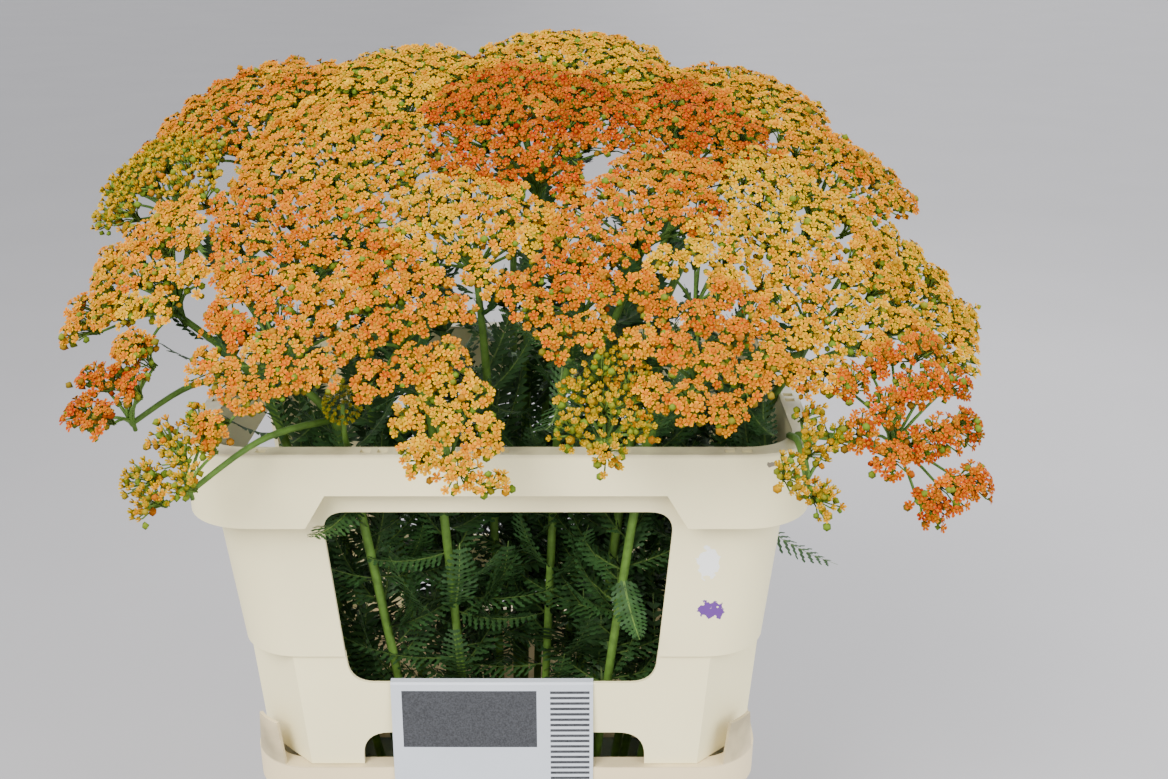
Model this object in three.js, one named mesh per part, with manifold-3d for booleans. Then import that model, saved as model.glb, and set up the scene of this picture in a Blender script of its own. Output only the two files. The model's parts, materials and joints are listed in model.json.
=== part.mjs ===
// Terracotta yarrow as it is sold at a flower auction: cut stems with flat flower heads, standing
// in a cream water bucket whose windowed collar holds them up, with a card hung on the collar.
// Millimetres, +Z up, -Y is the front. The origin is under the middle of the bucket.
import * as THREE from "three";
import { mergeVertices } from "three/addons/utils/BufferGeometryUtils.js";
import Module from "manifold-3d";

const wasm = await Module();
wasm.setup();

// Moulded plastic: half widths and half depths are measured from the middle
const WALL = 3;
const GAP = 0.35; // clearance between pieces that rest on each other
const BUCKET = {
  height: 225,
  floor: 4,
  foot: { x: 148, y: 92, corner: 28 },
  rim: { x: 184, y: 124, corner: 42 },
  band: 24,
  bandProud: 10,
  ear: 33,
};
const COLLAR = {
  top: 478,
  rim: { x: 212, y: 150, corner: 48 },
  rimWidth: { x: 14, y: 14 },
  skirt: 53,
  skirtMiddle: 29.5,
  rampX: [112, 126],
  rampY: [56, 70],
  ledge: 317,
  ledgeAt: { x: 186, y: 127, corner: 44 },
  foot: { x: 177, y: 120, corner: 38 },
};
const WINDOW = { top: 431, bottom: 294, halfTop: 118, halfBottom: 107, corner: 17 };
const SIDE_WINDOW = { top: 431, bottom: 294, halfTop: 76, halfBottom: 68, corner: 17 };
const NOTCH = { half: 101, height: 27, corner: 20 };
const SIDE_NOTCH = { half: 60, height: 27, corner: 20 };
const CARD = { left: -79, right: 64, top: 294.9, bottom: 188, thickness: 0.6, flap: 10 };
const WATER_LEVEL = 105;

// The bunch: how far the stems have spread at the bucket's floor, at the rim and at head height
const SPREAD = { floor: 0.3, rim: 0.66, head: 1, headHeight: 600 };
const STEM = { radius: 3.2, sides: 6, hub: 3.5, reachX: 279, reachY: 188 };
const HEAD = {
  pitch: 20, // floret to floret
  peak: 4.2,
  tip: -1.2,
  valley: -5,
  uneven: 1.6,
  dome: 0.24,
  depth: 0.3,
  margin: 0.5,
  crowd: 6,
};
const BRANCH = { reach: 0.66, sector: 0.45, clear: 0.75 }; // where branches end under the flowers
const SHOOT = { radii: [2.4, 2.3], rise: 14 };
const LEAF = {
  thickness: 0.8,
  pairs: 4,
  rib: 1.3,
  lift: 0.16,
  droop: 0.34,
  fold: 0.18,
  innerReach: 135, // stems nearer the middle than this carry one leaf, the others two
};

const COLOURS = {
  terracotta: 0xd0622a,
  orange: 0xdc8030,
  gold: 0xe3a33a,
  yellow: 0xe8bd3e,
  olive: 0xb5a24a,
  green: 0x4d6b35,
  cream: 0xe2d8b8,
  card: 0xe9ebee,
  water: 0xa9c0bd,
};

// Each plant's first head is its main one, where its stem points; the others are side shoots.
// at: middle of the flower surface; r: radius; falls: how steeply it falls along X and Y;
// fork: height on the stem where a side shoot leaves it.
const PLANTS = [
  [{ at: [-140, 172, 664], r: 62, colour: "gold", falls: [-0.15, 0.45] }],
  [{ at: [0, 184, 668], r: 66, colour: "orange", falls: [0, 0.45] }],
  [{ at: [138, 170, 660], r: 62, colour: "yellow", falls: [0.15, 0.45] }],
  [{ at: [-198, 86, 664], r: 76, colour: "orange", falls: [-0.28, -0.25] }],
  [{ at: [-84, 80, 684], r: 64, colour: "yellow", falls: [-0.05, -0.25] }],
  [{ at: [52, 98, 692], r: 74, colour: "yellow", falls: [0.05, -0.25] }],
  [{ at: [182, 88, 670], r: 58, colour: "gold", falls: [0.25, -0.25] }],
  [{ at: [-246, 8, 628], r: 56, colour: "olive", falls: [-0.45, -0.4] }],
  [{ at: [-118, -4, 648], r: 70, colour: "gold", falls: [-0.12, -0.45] }],
  [{ at: [24, -2, 662], r: 76, colour: "terracotta", falls: [0, -0.5] }],
  [{ at: [138, 20, 658], r: 56, colour: "terracotta", falls: [0.15, -0.45] }],
  [{ at: [236, 16, 628], r: 62, colour: "gold", falls: [0.45, -0.4] }],
  [
    { at: [-228, -82, 586], r: 56, colour: "gold", falls: [-0.45, -0.55] },
    { at: [-246, -146, 522], r: 32, colour: "terracotta", falls: [-0.6, -0.6], fork: 500 },
  ],
  [{ at: [-138, -84, 606], r: 66, colour: "orange", falls: [-0.15, -0.6] }],
  [{ at: [96, -68, 624], r: 60, colour: "orange", falls: [0.05, -0.5] }],
  [{ at: [200, -52, 612], r: 60, colour: "yellow", falls: [0.3, -0.5] }],
  [{ at: [-14, -92, 612], r: 54, colour: "yellow", falls: [0, -0.6] }],
  [{ at: [56, -128, 590], r: 50, colour: "orange", falls: [0, -0.7] }],
  [{ at: [132, -118, 594], r: 48, colour: "yellow", falls: [0.1, -0.65] }],
  [
    { at: [-60, -146, 576], r: 46, colour: "orange", falls: [0, -0.75] },
    { at: [-24, -204, 512], r: 36, colour: "yellow", falls: [0.1, -0.9], fork: 496 },
  ],
  [
    { at: [-138, -152, 562], r: 50, colour: "orange", falls: [-0.2, -0.75] },
    { at: [-194, -201, 494], r: 26, colour: "olive", falls: [-0.5, -0.7], fork: 490 },
  ],
  [
    { at: [130, -168, 560], r: 52, colour: "orange", falls: [0.1, -0.85] },
    { at: [70, -200, 524], r: 34, colour: "olive", falls: [0, -0.9], fork: 496 },
  ],
  [{ at: [214, -110, 574], r: 62, colour: "yellow", falls: [0.3, -0.65] }],
  [{ at: [290, -46, 562], r: 52, colour: "yellow", falls: [0.7, -0.35] }],
  [
    { at: [266, -168, 514], r: 48, colour: "terracotta", falls: [0.6, -1.0] },
    { at: [199, -200, 498], r: 23, colour: "olive", falls: [0.3, -0.9], fork: 480 },
  ],
];

// Leaves that the picture shows on their own: plant number, height of the root, heading in
// degrees from +X, climb in degrees, length and half width.
const PLACED_LEAVES = [
  [21, 430, 248, -14, 62, 14],
  [18, 496, 264, -2, 92, 11],
  [18, 500, 286, 2, 84, 10],
  [24, 425, 350, -35, 60, 13],
  [14, 350, 300, 40, 62, 13],
  [17, 330, 286, 44, 70, 14],
  [22, 372, 285, -45, 50, 12],
  [22, 340, 200, 30, 50, 13],
];

// A ball of tight buds on a short shoot of its own, in front of the bunch
const BUD_BALL = {
  plant: 21,
  fork: 466,
  at: [-98, -141, 509],
  radius: 13,
  bumps: 0.1,
  turnsPerMm: 0.7,
  shoot: [2.2, 1.8, 1.5],
};

// Seeded draws, so that every build gives the same bunch
function draws(seed) {
  let state = seed;
  return () => {
    state = (state + 0x6d2b79f5) | 0;
    let t = Math.imul(state ^ (state >>> 15), 1 | state);
    t = (t + Math.imul(t ^ (t >>> 7), 61 | t)) ^ t;
    return ((t ^ (t >>> 14)) >>> 0) / 4294967296;
  };
}

const lerp = THREE.MathUtils.lerp;
const vector = (x, y, z) => new THREE.Vector3(x, y, z);

// A mesh from points and index triples as a solid, with triangles that merged away dropped
function solidOf(points, faces) {
  const flat = new Float32Array(faces.flat().flatMap((i) => points[i].toArray()));
  return solidFrom(new THREE.BufferGeometry().setAttribute("position", new THREE.BufferAttribute(flat, 3)));
}

function solidFrom(geometry) {
  geometry.deleteAttribute("normal");
  geometry.deleteAttribute("uv");
  const merged = mergeVertices(geometry, 1e-3);
  const index = merged.index.array;
  const kept = [];
  for (let i = 0; i < index.length; i += 3) {
    const [a, b, c] = index.slice(i, i + 3);
    if (a !== b && b !== c && c !== a) kept.push(a, b, c);
  }
  return new wasm.Manifold(
    new wasm.Mesh({
      numProp: 3,
      vertProperties: merged.attributes.position.array,
      triVerts: new Uint32Array(kept),
    }),
  );
}

function geometryOf(solid) {
  const mesh = solid.getMesh();
  const geometry = new THREE.BufferGeometry();
  geometry.setAttribute("position", new THREE.BufferAttribute(mesh.vertProperties, 3));
  geometry.setIndex(new THREE.BufferAttribute(mesh.triVerts, 1));
  geometry.computeVertexNormals();
  return geometry;
}

// Rings of points with the same count, joined one to the next: closed into a hoop, or ending in
// two caps. Each ring runs anticlockwise seen from above; the rings follow the section clockwise.
function loft(rings, hoop) {
  const count = rings[0].length;
  const faces = [];
  const joins = hoop ? rings.length : rings.length - 1;
  for (let r = 0; r < joins; r++) {
    const low = r * count;
    const high = ((r + 1) % rings.length) * count;
    for (let i = 0; i < count; i++) {
      const next = (i + 1) % count;
      faces.push([low + i, low + next, high + next], [low + i, high + next, high + i]);
    }
  }
  if (!hoop) {
    const last = (rings.length - 1) * count;
    for (let i = 1; i < count - 1; i++) {
      faces.push([0, i + 1, i], [last, last + i, last + i + 1]);
    }
  }
  return solidOf(rings.flat(), faces);
}

// A ring round a rectangle with rounded (or straight cut) corners. Extra points on the long and
// short sides let an edge step up there. height may be a number or a function of the place.
function outline({ x, y, corner }, height, { cut = false, onX = [], onY = [] } = {}) {
  const steps = 3;
  const points = [];
  const signs = [
    [1, -1],
    [1, 1],
    [-1, 1],
    [-1, -1],
  ];
  signs.forEach(([sx, sy], quarter) => {
    for (let i = 0; i <= steps; i++) {
      const part = quarter % 2 === 0 ? i / steps : 1 - i / steps;
      const angle = (part * Math.PI) / 2;
      const [along, across] = cut ? [part, 1 - part] : [Math.sin(angle), Math.cos(angle)];
      points.push([sx * (x - corner + corner * along), sy * (y - corner + corner * across)]);
    }
    const alongY = quarter % 2 === 0;
    const side = alongY ? onY.map((v) => [sx * x, v * sy]) : onX.map((v) => [v * sx, sy * y]);
    points.push(...side, ...[...side].reverse().map(([a, b]) => (alongY ? [a, -b] : [-a, b])));
  });
  const heightAt = typeof height === "number" ? () => height : height;
  return points.map(([px, py], i) => vector(px, py, heightAt(i, px, py)));
}

const inset = (size, by) => ({ x: size.x - by, y: size.y - by, corner: Math.max(size.corner - by, 4) });

const between = (a, b, t) => ({
  x: lerp(a.x, b.x, t),
  y: lerp(a.y, b.y, t),
  corner: lerp(a.corner, b.corner, t),
});

// The bucket: tapered walls, a band under the rim that is open below, and an ear at each corner
// that keeps the collar from sliding
function bucket() {
  const { height, floor, foot, rim, band, bandProud, ear } = BUCKET;
  const wall = inset(rim, bandProud);
  const earRing = (i) => height + (i % 4 === 1 || i % 4 === 2 ? ear : 0);
  const rings = [
    outline(foot, 0),
    outline(inset(wall, 1), height - band),
    outline(wall, height - WALL),
    outline(inset(rim, WALL), height - WALL),
    outline(inset(rim, WALL), height - band),
    outline(inset(rim, 0.5), height - band),
    outline(rim, earRing),
    outline(inset(rim, 2.5), earRing),
    outline(inset(rim, 2.8), height),
    outline(inset(wall, WALL), height),
    outline(inset(foot, WALL), floor),
  ];
  return loft(rings, false);
}

// A rounded opening, wider at the top, cut right through along one axis
function opening({ top, bottom, halfTop, halfBottom, corner }, through, alongX) {
  const shape = new THREE.Shape();
  const corners = [
    [halfBottom, bottom],
    [halfTop, top],
    [-halfTop, top],
    [-halfBottom, bottom],
  ].map(([a, b]) => new THREE.Vector2(a, b));
  corners.forEach((at, i) => {
    const before = corners[(i + 3) % 4].clone().sub(at).setLength(corner).add(at);
    const after = corners[(i + 1) % 4].clone().sub(at).setLength(corner).add(at);
    if (i === 0) shape.moveTo(before.x, before.y);
    else shape.lineTo(before.x, before.y);
    shape.quadraticCurveTo(at.x, at.y, after.x, after.y);
  });
  const depth = 2 * through;
  const geometry = new THREE.ExtrudeGeometry(shape, { depth, bevelEnabled: false, curveSegments: 3 });
  geometry.translate(0, 0, -through).rotateX(Math.PI / 2);
  if (alongX) geometry.rotateZ(Math.PI / 2);
  return solidFrom(geometry);
}

const collarFoot = BUCKET.height + GAP;

// Half size of the collar's outer face at a height, above its ledge
function collarWall(z) {
  const top = inset(COLLAR.rim, COLLAR.rimWidth.x - WALL);
  return between(COLLAR.ledgeAt, top, (z - COLLAR.ledge) / (COLLAR.top - COLLAR.ledge));
}

// The collar: a tapered wall whose corners are cut back below a ledge, and a rim that folds
// outwards into a skirt, which is shallower in the middle of each side
function collar() {
  const { top, rim, skirt, skirtMiddle, rampX, rampY, ledge, foot, ledgeAt } = COLLAR;
  const side = { onX: [rampX[1], rampX[0]], onY: [rampY[1], rampY[0]] };
  const skirtEnd = (i, x, y) => {
    const middle = Math.abs(y) > rim.y - 8 ? Math.abs(x) <= rampX[0] : Math.abs(y) <= rampY[0];
    return top - (middle ? skirtMiddle : skirt);
  };
  const cut = { ...side, cut: true };
  const cutLedge = { ...inset(ledgeAt, 2), corner: foot.corner };
  const rings = [
    outline(rim, top, side),
    outline(inset(collarWall(top), WALL), top, side),
    outline(inset(collarWall(ledge + WALL), WALL), ledge + WALL, side),
    outline(inset(cutLedge, WALL), ledge + WALL - 0.5, cut),
    outline(inset(foot, WALL), collarFoot, cut),
    outline(foot, collarFoot, cut),
    outline(cutLedge, ledge, cut),
    outline(collarWall(ledge), ledge, side),
    outline(collarWall(top - WALL), top - WALL, side),
    outline(inset(rim, WALL), top - WALL, side),
    outline(inset(rim, WALL), skirtEnd, side),
    outline(inset(rim, 0.8), skirtEnd, side),
  ];
  const notch = ({ half, height, corner }) => ({
    top: collarFoot + height,
    bottom: collarFoot - height,
    halfTop: half,
    halfBottom: half,
    corner,
  });
  const cuts = [
    opening(WINDOW, rim.y, false),
    opening(SIDE_WINDOW, rim.x, true),
    opening(notch(NOTCH), rim.y, false),
    opening(notch(SIDE_NOTCH), rim.x, true),
  ];
  return cuts.reduce((solid, cutter) => solid.subtract(cutter), loft(rings, true));
}

// The lot card: it hangs down the front and folds over the lower edge of the front window
function card() {
  const { left, right, top, bottom, thickness, flap } = CARD;
  const t = (WINDOW.bottom - COLLAR.ledge) / (collarFoot - COLLAR.ledge);
  const face = lerp(COLLAR.ledgeAt.y - 2, COLLAR.foot.y, t);
  const back = Math.max(face, BUCKET.rim.y) + GAP;
  const inner = face - WALL - 2 * GAP - 1;
  const shape = new THREE.Shape();
  [
    [-back - thickness, bottom],
    [-back, bottom],
    [-back, top - thickness],
    [-inner, top - thickness],
    [-inner, top - flap],
    [-inner + thickness, top - flap],
    [-inner + thickness, top],
    [-back - thickness, top],
  ].forEach(([y, z], i) => (i ? shape.lineTo(y, z) : shape.moveTo(y, z)));
  const geometry = new THREE.ExtrudeGeometry(shape, { depth: right - left, bevelEnabled: false });
  const place = new THREE.Matrix4().makeBasis(vector(0, 1, 0), vector(0, 0, 1), vector(1, 0, 0));
  geometry.applyMatrix4(place).translate(left, 0, 0);
  return solidFrom(geometry);
}

// How far the bunch has opened at a height: slowly inside the collar, faster above it
function spread(z) {
  const { floor, rim, head, headHeight } = SPREAD;
  if (z <= COLLAR.top) return lerp(floor, rim, z / COLLAR.top);
  return lerp(rim, head, (z - COLLAR.top) / (headHeight - COLLAR.top));
}

// A plant's own place in the bunch, and where its stem runs: heads far out arch over the rim
const plants = PLANTS.map((heads, number) => {
  const [x, y, z] = heads[0].at;
  const open = spread(z);
  const site = new THREE.Vector2(x / open, y / open);
  const pull = Math.min(1, STEM.reachX / Math.abs(site.x), STEM.reachY / Math.abs(site.y));
  const stem = site.clone().multiplyScalar(pull);
  return { number: number + 1, heads, site, radius: heads[0].r / open, stem };
});

// Every two plants are parted by a plane through the bunch's common axis point, where the circles
// of their heads would meet, so that no plant crosses another
for (const plant of plants) {
  plant.walls = plants
    .filter((other) => other !== plant)
    .map((other) => {
      const apart = other.site.clone().sub(plant.site);
      const distance = apart.length();
      const share = (distance ** 2 + plant.radius ** 2 - other.radius ** 2) / (2 * distance);
      const normal = apart.divideScalar(distance);
      return { normal, reach: plant.site.dot(normal) + share };
    });
}

function inOwnSpace(plant, p, margin = HEAD.margin) {
  const open = spread(p.z);
  return plant.walls.every(({ normal, reach }) => normal.x * p.x + normal.y * p.y <= reach * open - margin);
}

function stemAt(plant, z) {
  const open = spread(z);
  return vector(plant.stem.x * open, plant.stem.y * open, z);
}

// Rings along some points, square to the path; where a stem stands on the floor, the first is level
function ringsAlong(points, radii, standing) {
  const last = points.length - 1;
  const chord = points[last].clone().sub(points[0]);
  const side = Math.abs(chord.x) < Math.abs(chord.y) ? vector(1, 0, 0) : vector(0, 1, 0);
  return points.map((p, i) => {
    const path = points[Math.min(i + 1, last)].clone().sub(points[Math.max(i - 1, 0)]).normalize();
    const along = standing && i === 0 ? vector(0, 0, 1) : path;
    const across = side.clone().addScaledVector(along, -side.dot(along)).normalize();
    const other = along.clone().cross(across);
    return Array.from({ length: STEM.sides }, (_, k) => {
      const angle = (2 * Math.PI * k) / STEM.sides;
      const out = across.clone().multiplyScalar(Math.cos(angle)).addScaledVector(other, Math.sin(angle));
      return p.clone().addScaledVector(out, radii[i]);
    });
  });
}

// The way a head faces, its underside's lowest point and the hub where its branches part
function poise(head) {
  const [fallX, fallY] = head.falls;
  const normal = vector(fallX, fallY, 1).normalize();
  const middle = vector(...head.at);
  const apex = middle.clone().addScaledVector(normal, -HEAD.depth * head.r);
  const down = normal.clone().lerp(vector(0, 0, 1), 0.5).normalize();
  const hub = apex.clone().addScaledVector(down, -(0.3 * head.r + 12));
  return { apex, hub };
}

// Flower surface: a dome that leans the way the head faces, with a slow swell of its own
function surfaceHeight(head, dx, dy, swell) {
  const rho = Math.hypot(dx, dy) / head.r;
  const fall = dx * head.falls[0] + dy * head.falls[1];
  const wave = 0.05 * head.r * Math.sin(3 * Math.atan2(dy, dx) + swell) * rho;
  return head.at[2] + HEAD.dome * head.r * (1 - rho ** 2) - fall + wave;
}

// A head's florets on a honeycomb: each is a six pointed star that peaks in its middle. They
// fill the head's wavy outline, and crowd closer where its plant's own space ends. The underside
// closes as a blunt cone.
function flowers(plant, head, seed) {
  const random = draws(seed);
  const { apex } = poise(head);
  const turn = random() * Math.PI;
  const swell = random() * 2 * Math.PI;
  const at = (angle, out, relief = 0) => {
    const [dx, dy] = [out * Math.cos(angle), out * Math.sin(angle)];
    const z = surfaceHeight(head, dx, dy, swell) + relief;
    return vector(head.at[0] + dx, head.at[1] + dy, z);
  };
  const room = (angle) => {
    const outer = head.r * (1 + 0.07 * Math.sin(2 * angle + swell) + 0.05 * Math.sin(5 * angle - swell));
    let [near, far] = [0, outer + HEAD.pitch / 5];
    if (inOwnSpace(plant, at(angle, far))) return far;
    for (let i = 0; i < 12; i++) {
      const middle = (near + far) / 2;
      if (inOwnSpace(plant, at(angle, middle))) near = middle;
      else far = middle;
    }
    return near;
  };
  const polar = (u, v) => [Math.atan2(v, u) + turn, Math.hypot(u, v)];
  const pointAt = (u, v, relief) => {
    const [angle, out] = polar(u, v);
    const ease = room(angle) - HEAD.crowd;
    const kept = out < ease ? out : ease + HEAD.crowd * (1 - Math.exp((ease - out) / HEAD.crowd));
    return at(angle, kept, relief);
  };
  const centre = (i, j) => [HEAD.pitch * (i + j / 2), (HEAD.pitch * j * Math.sqrt(3)) / 2];
  const rim = (i, j) => {
    const [cu, cv] = centre(i, j);
    return Array.from({ length: 12 }, (_, k) => {
      const angle = (k * Math.PI) / 6;
      const out = k % 2 ? HEAD.pitch / Math.sqrt(3) : HEAD.pitch / 2;
      return [cu + out * Math.cos(angle), cv + out * Math.sin(angle), k % 2 ? HEAD.valley : HEAD.tip];
    });
  };
  const fits = (i, j) => {
    const [angle, out] = polar(...centre(i, j));
    return out < room(angle) - HEAD.pitch * 0.28;
  };
  const steps = [
    [1, 0],
    [0, 1],
    [-1, 1],
    [-1, 0],
    [0, -1],
    [1, -1],
  ];
  const cells = [[0, 0]];
  const seen = new Set(["0,0"]);
  for (const [i, j] of cells) {
    for (const [di, dj] of steps) {
      const key = `${i + di},${j + dj}`;
      if (seen.has(key)) continue;
      seen.add(key);
      if (fits(i + di, j + dj)) cells.push([i + di, j + dj]);
    }
  }
  const points = [apex.clone()];
  const known = new Map();
  const number = (u, v, relief) => {
    const key = `${u.toFixed(2)},${v.toFixed(2)}`;
    if (!known.has(key)) known.set(key, points.push(pointAt(u, v, relief)) - 1);
    return known.get(key);
  };
  const faces = [];
  const edges = new Map();
  for (const [i, j] of cells) {
    const loop = rim(i, j).map(([u, v, relief]) => number(u, v, relief));
    const middle = points.push(pointAt(...centre(i, j), HEAD.peak + (random() - 0.5) * 2 * HEAD.uneven)) - 1;
    loop.forEach((a, k) => {
      const b = loop[(k + 1) % loop.length];
      faces.push([middle, a, b]);
      if (edges.has(`${b},${a}`)) edges.delete(`${b},${a}`);
      else edges.set(`${a},${b}`, [a, b]);
    });
  }
  const open = [...edges.values()];
  open.forEach(([a, b]) => faces.push([0, b, a]));
  return { solid: solidOf(points, faces), edge: open.map(([a]) => points[a]) };
}

// Where a head's branches end: just under the flowers, along the lowest lines of the underside
function branchEnds({ apex }, edge) {
  return Array.from({ length: STEM.sides }, (_, k) => {
    const angle = (2 * Math.PI * (k + 0.5)) / STEM.sides;
    const lowest = edge.reduce((best, p) => {
      const [dx, dy] = [p.x - apex.x, p.y - apex.y];
      const turn = Math.atan2(dy, dx) - angle;
      const off = Math.abs(Math.atan2(Math.sin(turn), Math.cos(turn)));
      const score = (p.z - apex.z) / Math.hypot(dx, dy) + (off > BRANCH.sector ? 10 * off : 0);
      return !best || score < best.score ? { p, score } : best;
    }, null).p;
    return apex.clone().lerp(lowest, BRANCH.reach).add(vector(0, 0, -BRANCH.clear));
  });
}

// A stalk: a six sided tube whose hub draws out into a branch on each side and one more on top
function stalk(points, radii, place, edge, standing) {
  const up = place.apex.clone().sub(place.hub).normalize();
  const hubEnds = [-STEM.hub, STEM.hub].map((step) => place.hub.clone().addScaledVector(up, step));
  const rings = ringsAlong([...points, ...hubEnds], [...radii, radii.at(-1), radii.at(-1) * 0.8], standing);
  const count = STEM.sides;
  const faces = [];
  for (let i = 1; i < count - 1; i++) faces.push([0, i + 1, i]);
  for (let r = 0; r < rings.length - 2; r++) {
    for (let i = 0; i < count; i++) {
      const [a, b] = [r * count + i, r * count + ((i + 1) % count)];
      faces.push([a, b, b + count], [a, b + count, a + count]);
    }
  }
  const ends = branchEnds(place, edge);
  const low = rings.at(-2);
  const sideMiddle = (i) => low[i].clone().add(low[(i + 1) % count]).multiplyScalar(0.5);
  const spanFor = (turn) =>
    ends.reduce((sum, p, i) => sum + p.distanceTo(sideMiddle((i + turn) % count)), 0);
  const turns = ends.map((_, turn) => turn).sort((a, b) => spanFor(a) - spanFor(b));
  const base = (rings.length - 2) * count;
  const tip = rings.length * count;
  for (let i = 0; i < count; i++) {
    const side = (i + turns[0]) % count;
    const [a, b] = [base + side, base + ((side + 1) % count)];
    const [c, d] = [b + count, a + count];
    faces.push([a, b, tip + i], [b, c, tip + i], [c, d, tip + i], [d, a, tip + i]);
    faces.push([d, c, tip + count]);
  }
  return solidOf([...rings.flat(), ...ends, place.apex.clone().add(vector(0, 0, -BRANCH.clear))], faces);
}

// A cut leaf: a thin arched blade whose leaflets are cut to the rib and point forward
function leaf(root, heading, climb, length, half) {
  const along = vector(
    Math.cos(climb) * Math.cos(heading),
    Math.cos(climb) * Math.sin(heading),
    Math.sin(climb),
  );
  const across = vector(-Math.sin(heading), Math.cos(heading), 0);
  const normal = along.clone().cross(across).negate();
  const step = 1 / (LEAF.pairs + 1.2);
  const side = [[0, LEAF.rib]];
  for (let i = 0; i < LEAF.pairs; i++) {
    const start = (i + 0.7) * step;
    const width = half * (0.6 + 0.4 * Math.sin((Math.PI * (i + 0.8)) / LEAF.pairs));
    side.push([start + 0.85 * step, width], [start + step, LEAF.rib]);
  }
  const shape = [...side, [1, 0], ...side.map(([t, a]) => [t, -a]).reverse()].map(
    ([t, a]) => new THREE.Vector2(t * length, a),
  );
  const flat = THREE.ShapeUtils.triangulateShape(shape, []);
  const lift = (p, up) => {
    const t = p.x / length;
    const droop = length * (LEAF.lift * t - LEAF.droop * t * t);
    const fold = LEAF.fold * Math.abs(p.y);
    return root
      .clone()
      .addScaledVector(along, p.x)
      .addScaledVector(across, p.y)
      .addScaledVector(normal, droop + fold + up);
  };
  const upper = shape.map((p) => lift(p, LEAF.thickness / 2));
  const lower = shape.map((p) => lift(p, -LEAF.thickness / 2));
  const n = shape.length;
  const turns = (a, b, c) => THREE.ShapeUtils.area([shape[a], shape[b], shape[c]]) > 0;
  const around = THREE.ShapeUtils.area(shape) > 0;
  const faces = [];
  for (const [a, b, c] of flat) {
    const face = turns(a, b, c) === around ? [a, b, c] : [c, b, a];
    faces.push(face, face.map((i) => n + i).reverse());
  }
  for (let i = 0; i < n; i++) {
    const next = (i + 1) % n;
    faces.push([next, i, n + i], [next, n + i, n + next]);
  }
  const solid = solidOf([...upper, ...lower], faces);
  return { solid, points: [...upper, ...lower] };
}

// Whether a leaf stays in its plant's space and clear of the collar
function leafClear(plant, points) {
  return points.every((p) => {
    if (!inOwnSpace(plant, p, 1)) return false;
    if (p.z > COLLAR.top + 6) return true;
    const wall = collarWall(Math.max(p.z, COLLAR.ledge));
    const slack = p.z < COLLAR.ledge ? 16 : 13;
    return Math.abs(p.x) < wall.x - slack && Math.abs(p.y) < wall.y - slack;
  });
}

// Leaves up the stem: each takes the first of its draws that is clear, or is left off
function leaves(plant) {
  const random = draws(1000 + plant.number);
  const made = [];
  const placed = PLACED_LEAVES.filter(([number]) => number === plant.number);
  for (const [, z, heading, climb, length, half] of placed) {
    const angle = THREE.MathUtils.degToRad(heading);
    made.push(leaf(stemAt(plant, z), angle, THREE.MathUtils.degToRad(climb), length, half).solid);
  }
  const heights = placed.length || plant.stem.length() < LEAF.innerReach ? [400] : [330, 440];
  for (const z of heights) {
    for (let attempt = 0; attempt < 60; attempt++) {
      const size = 1 - attempt / 100;
      const height = z + 50 * (random() - 0.5);
      const trial = leaf(
        stemAt(plant, height),
        2 * Math.PI * random(),
        lerp(0.5, 1.25, random()),
        size * lerp(62, 84, random()),
        size * lerp(11, 15, random()),
      );
      if (!leafClear(plant, trial.points)) continue;
      made.push(trial.solid);
      break;
    }
  }
  return made;
}

function budBall(plant) {
  const { fork, at, radius, bumps, turnsPerMm, shoot } = BUD_BALL;
  const ball = new THREE.IcosahedronGeometry(radius, 1);
  const position = ball.attributes.position;
  for (let i = 0; i < position.count; i++) {
    const p = new THREE.Vector3().fromBufferAttribute(position, i);
    const waves = p.toArray().map((v, axis) => Math.sin(turnsPerMm * v + axis));
    const bump = 1 + bumps * waves[0] * waves[1] * waves[2];
    position.setXYZ(i, ...p.multiplyScalar(bump).add(vector(...at)).toArray());
  }
  const start = stemAt(plant, fork);
  const middle = start.clone().lerp(vector(...at), 0.55).add(vector(0, -6, -8));
  return [solidFrom(ball), loft(ringsAlong([start, middle, vector(...at)], shoot, false), false)];
}

// Stem, side shoots, branches and leaves of one plant, as one body
function greenery(plant, made) {
  const main = poise(plant.heads[0]);
  const { radius } = STEM;
  const foot = stemAt(plant, BUCKET.floor + GAP);
  const bend = stemAt(plant, COLLAR.top);
  const middle = bend.clone().lerp(main.hub, 0.5).add(vector(0, 0, 6));
  const path = [foot, bend, middle];
  const parts = [stalk(path, [radius, radius, radius * 0.9], main, made[0].edge, true)];
  plant.heads.slice(1).forEach((head, i) => {
    const place = poise(head);
    const upper = head.fork < middle.z ? [bend, middle] : [middle, main.hub];
    const start = upper[0].clone().lerp(upper[1], (head.fork - upper[0].z) / (upper[1].z - upper[0].z));
    const over = start.clone().lerp(place.hub, 0.5).add(vector(0, 0, SHOOT.rise));
    parts.push(stalk([start, over], SHOOT.radii, place, made[i + 1].edge, false));
  });
  if (plant.number === BUD_BALL.plant) parts.push(...budBall(plant));
  parts.push(...leaves(plant));
  return parts.reduce((solid, part) => solid.add(part));
}

// Water in the bucket, with a plain hole for each stem
function water(stems) {
  const { floor, foot, rim, height, bandProud } = BUCKET;
  const filled = (WATER_LEVEL - floor) / (height - floor);
  const inner = between(inset(foot, WALL), inset(rim, bandProud + WALL), filled);
  const bottom = outline(inset(foot, WALL + GAP), floor + GAP);
  const body = loft([bottom, outline(inset(inner, GAP), WATER_LEVEL)], false);
  return stems.reduce((solid, stem) => solid.subtract(stem), body);
}

// A square hole that clears the stem's corners
function stemHole(plant) {
  const ends = [-6, WATER_LEVEL + 20].map((z) => stemAt(plant, z));
  const half = STEM.radius + GAP;
  const corners = [
    [1, -1],
    [1, 1],
    [-1, 1],
    [-1, -1],
  ];
  return loft(
    ends.map((end) => corners.map(([x, y]) => end.clone().add(vector(half * x, half * y, 0)))),
    false,
  );
}

const group = new THREE.Group();

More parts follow.
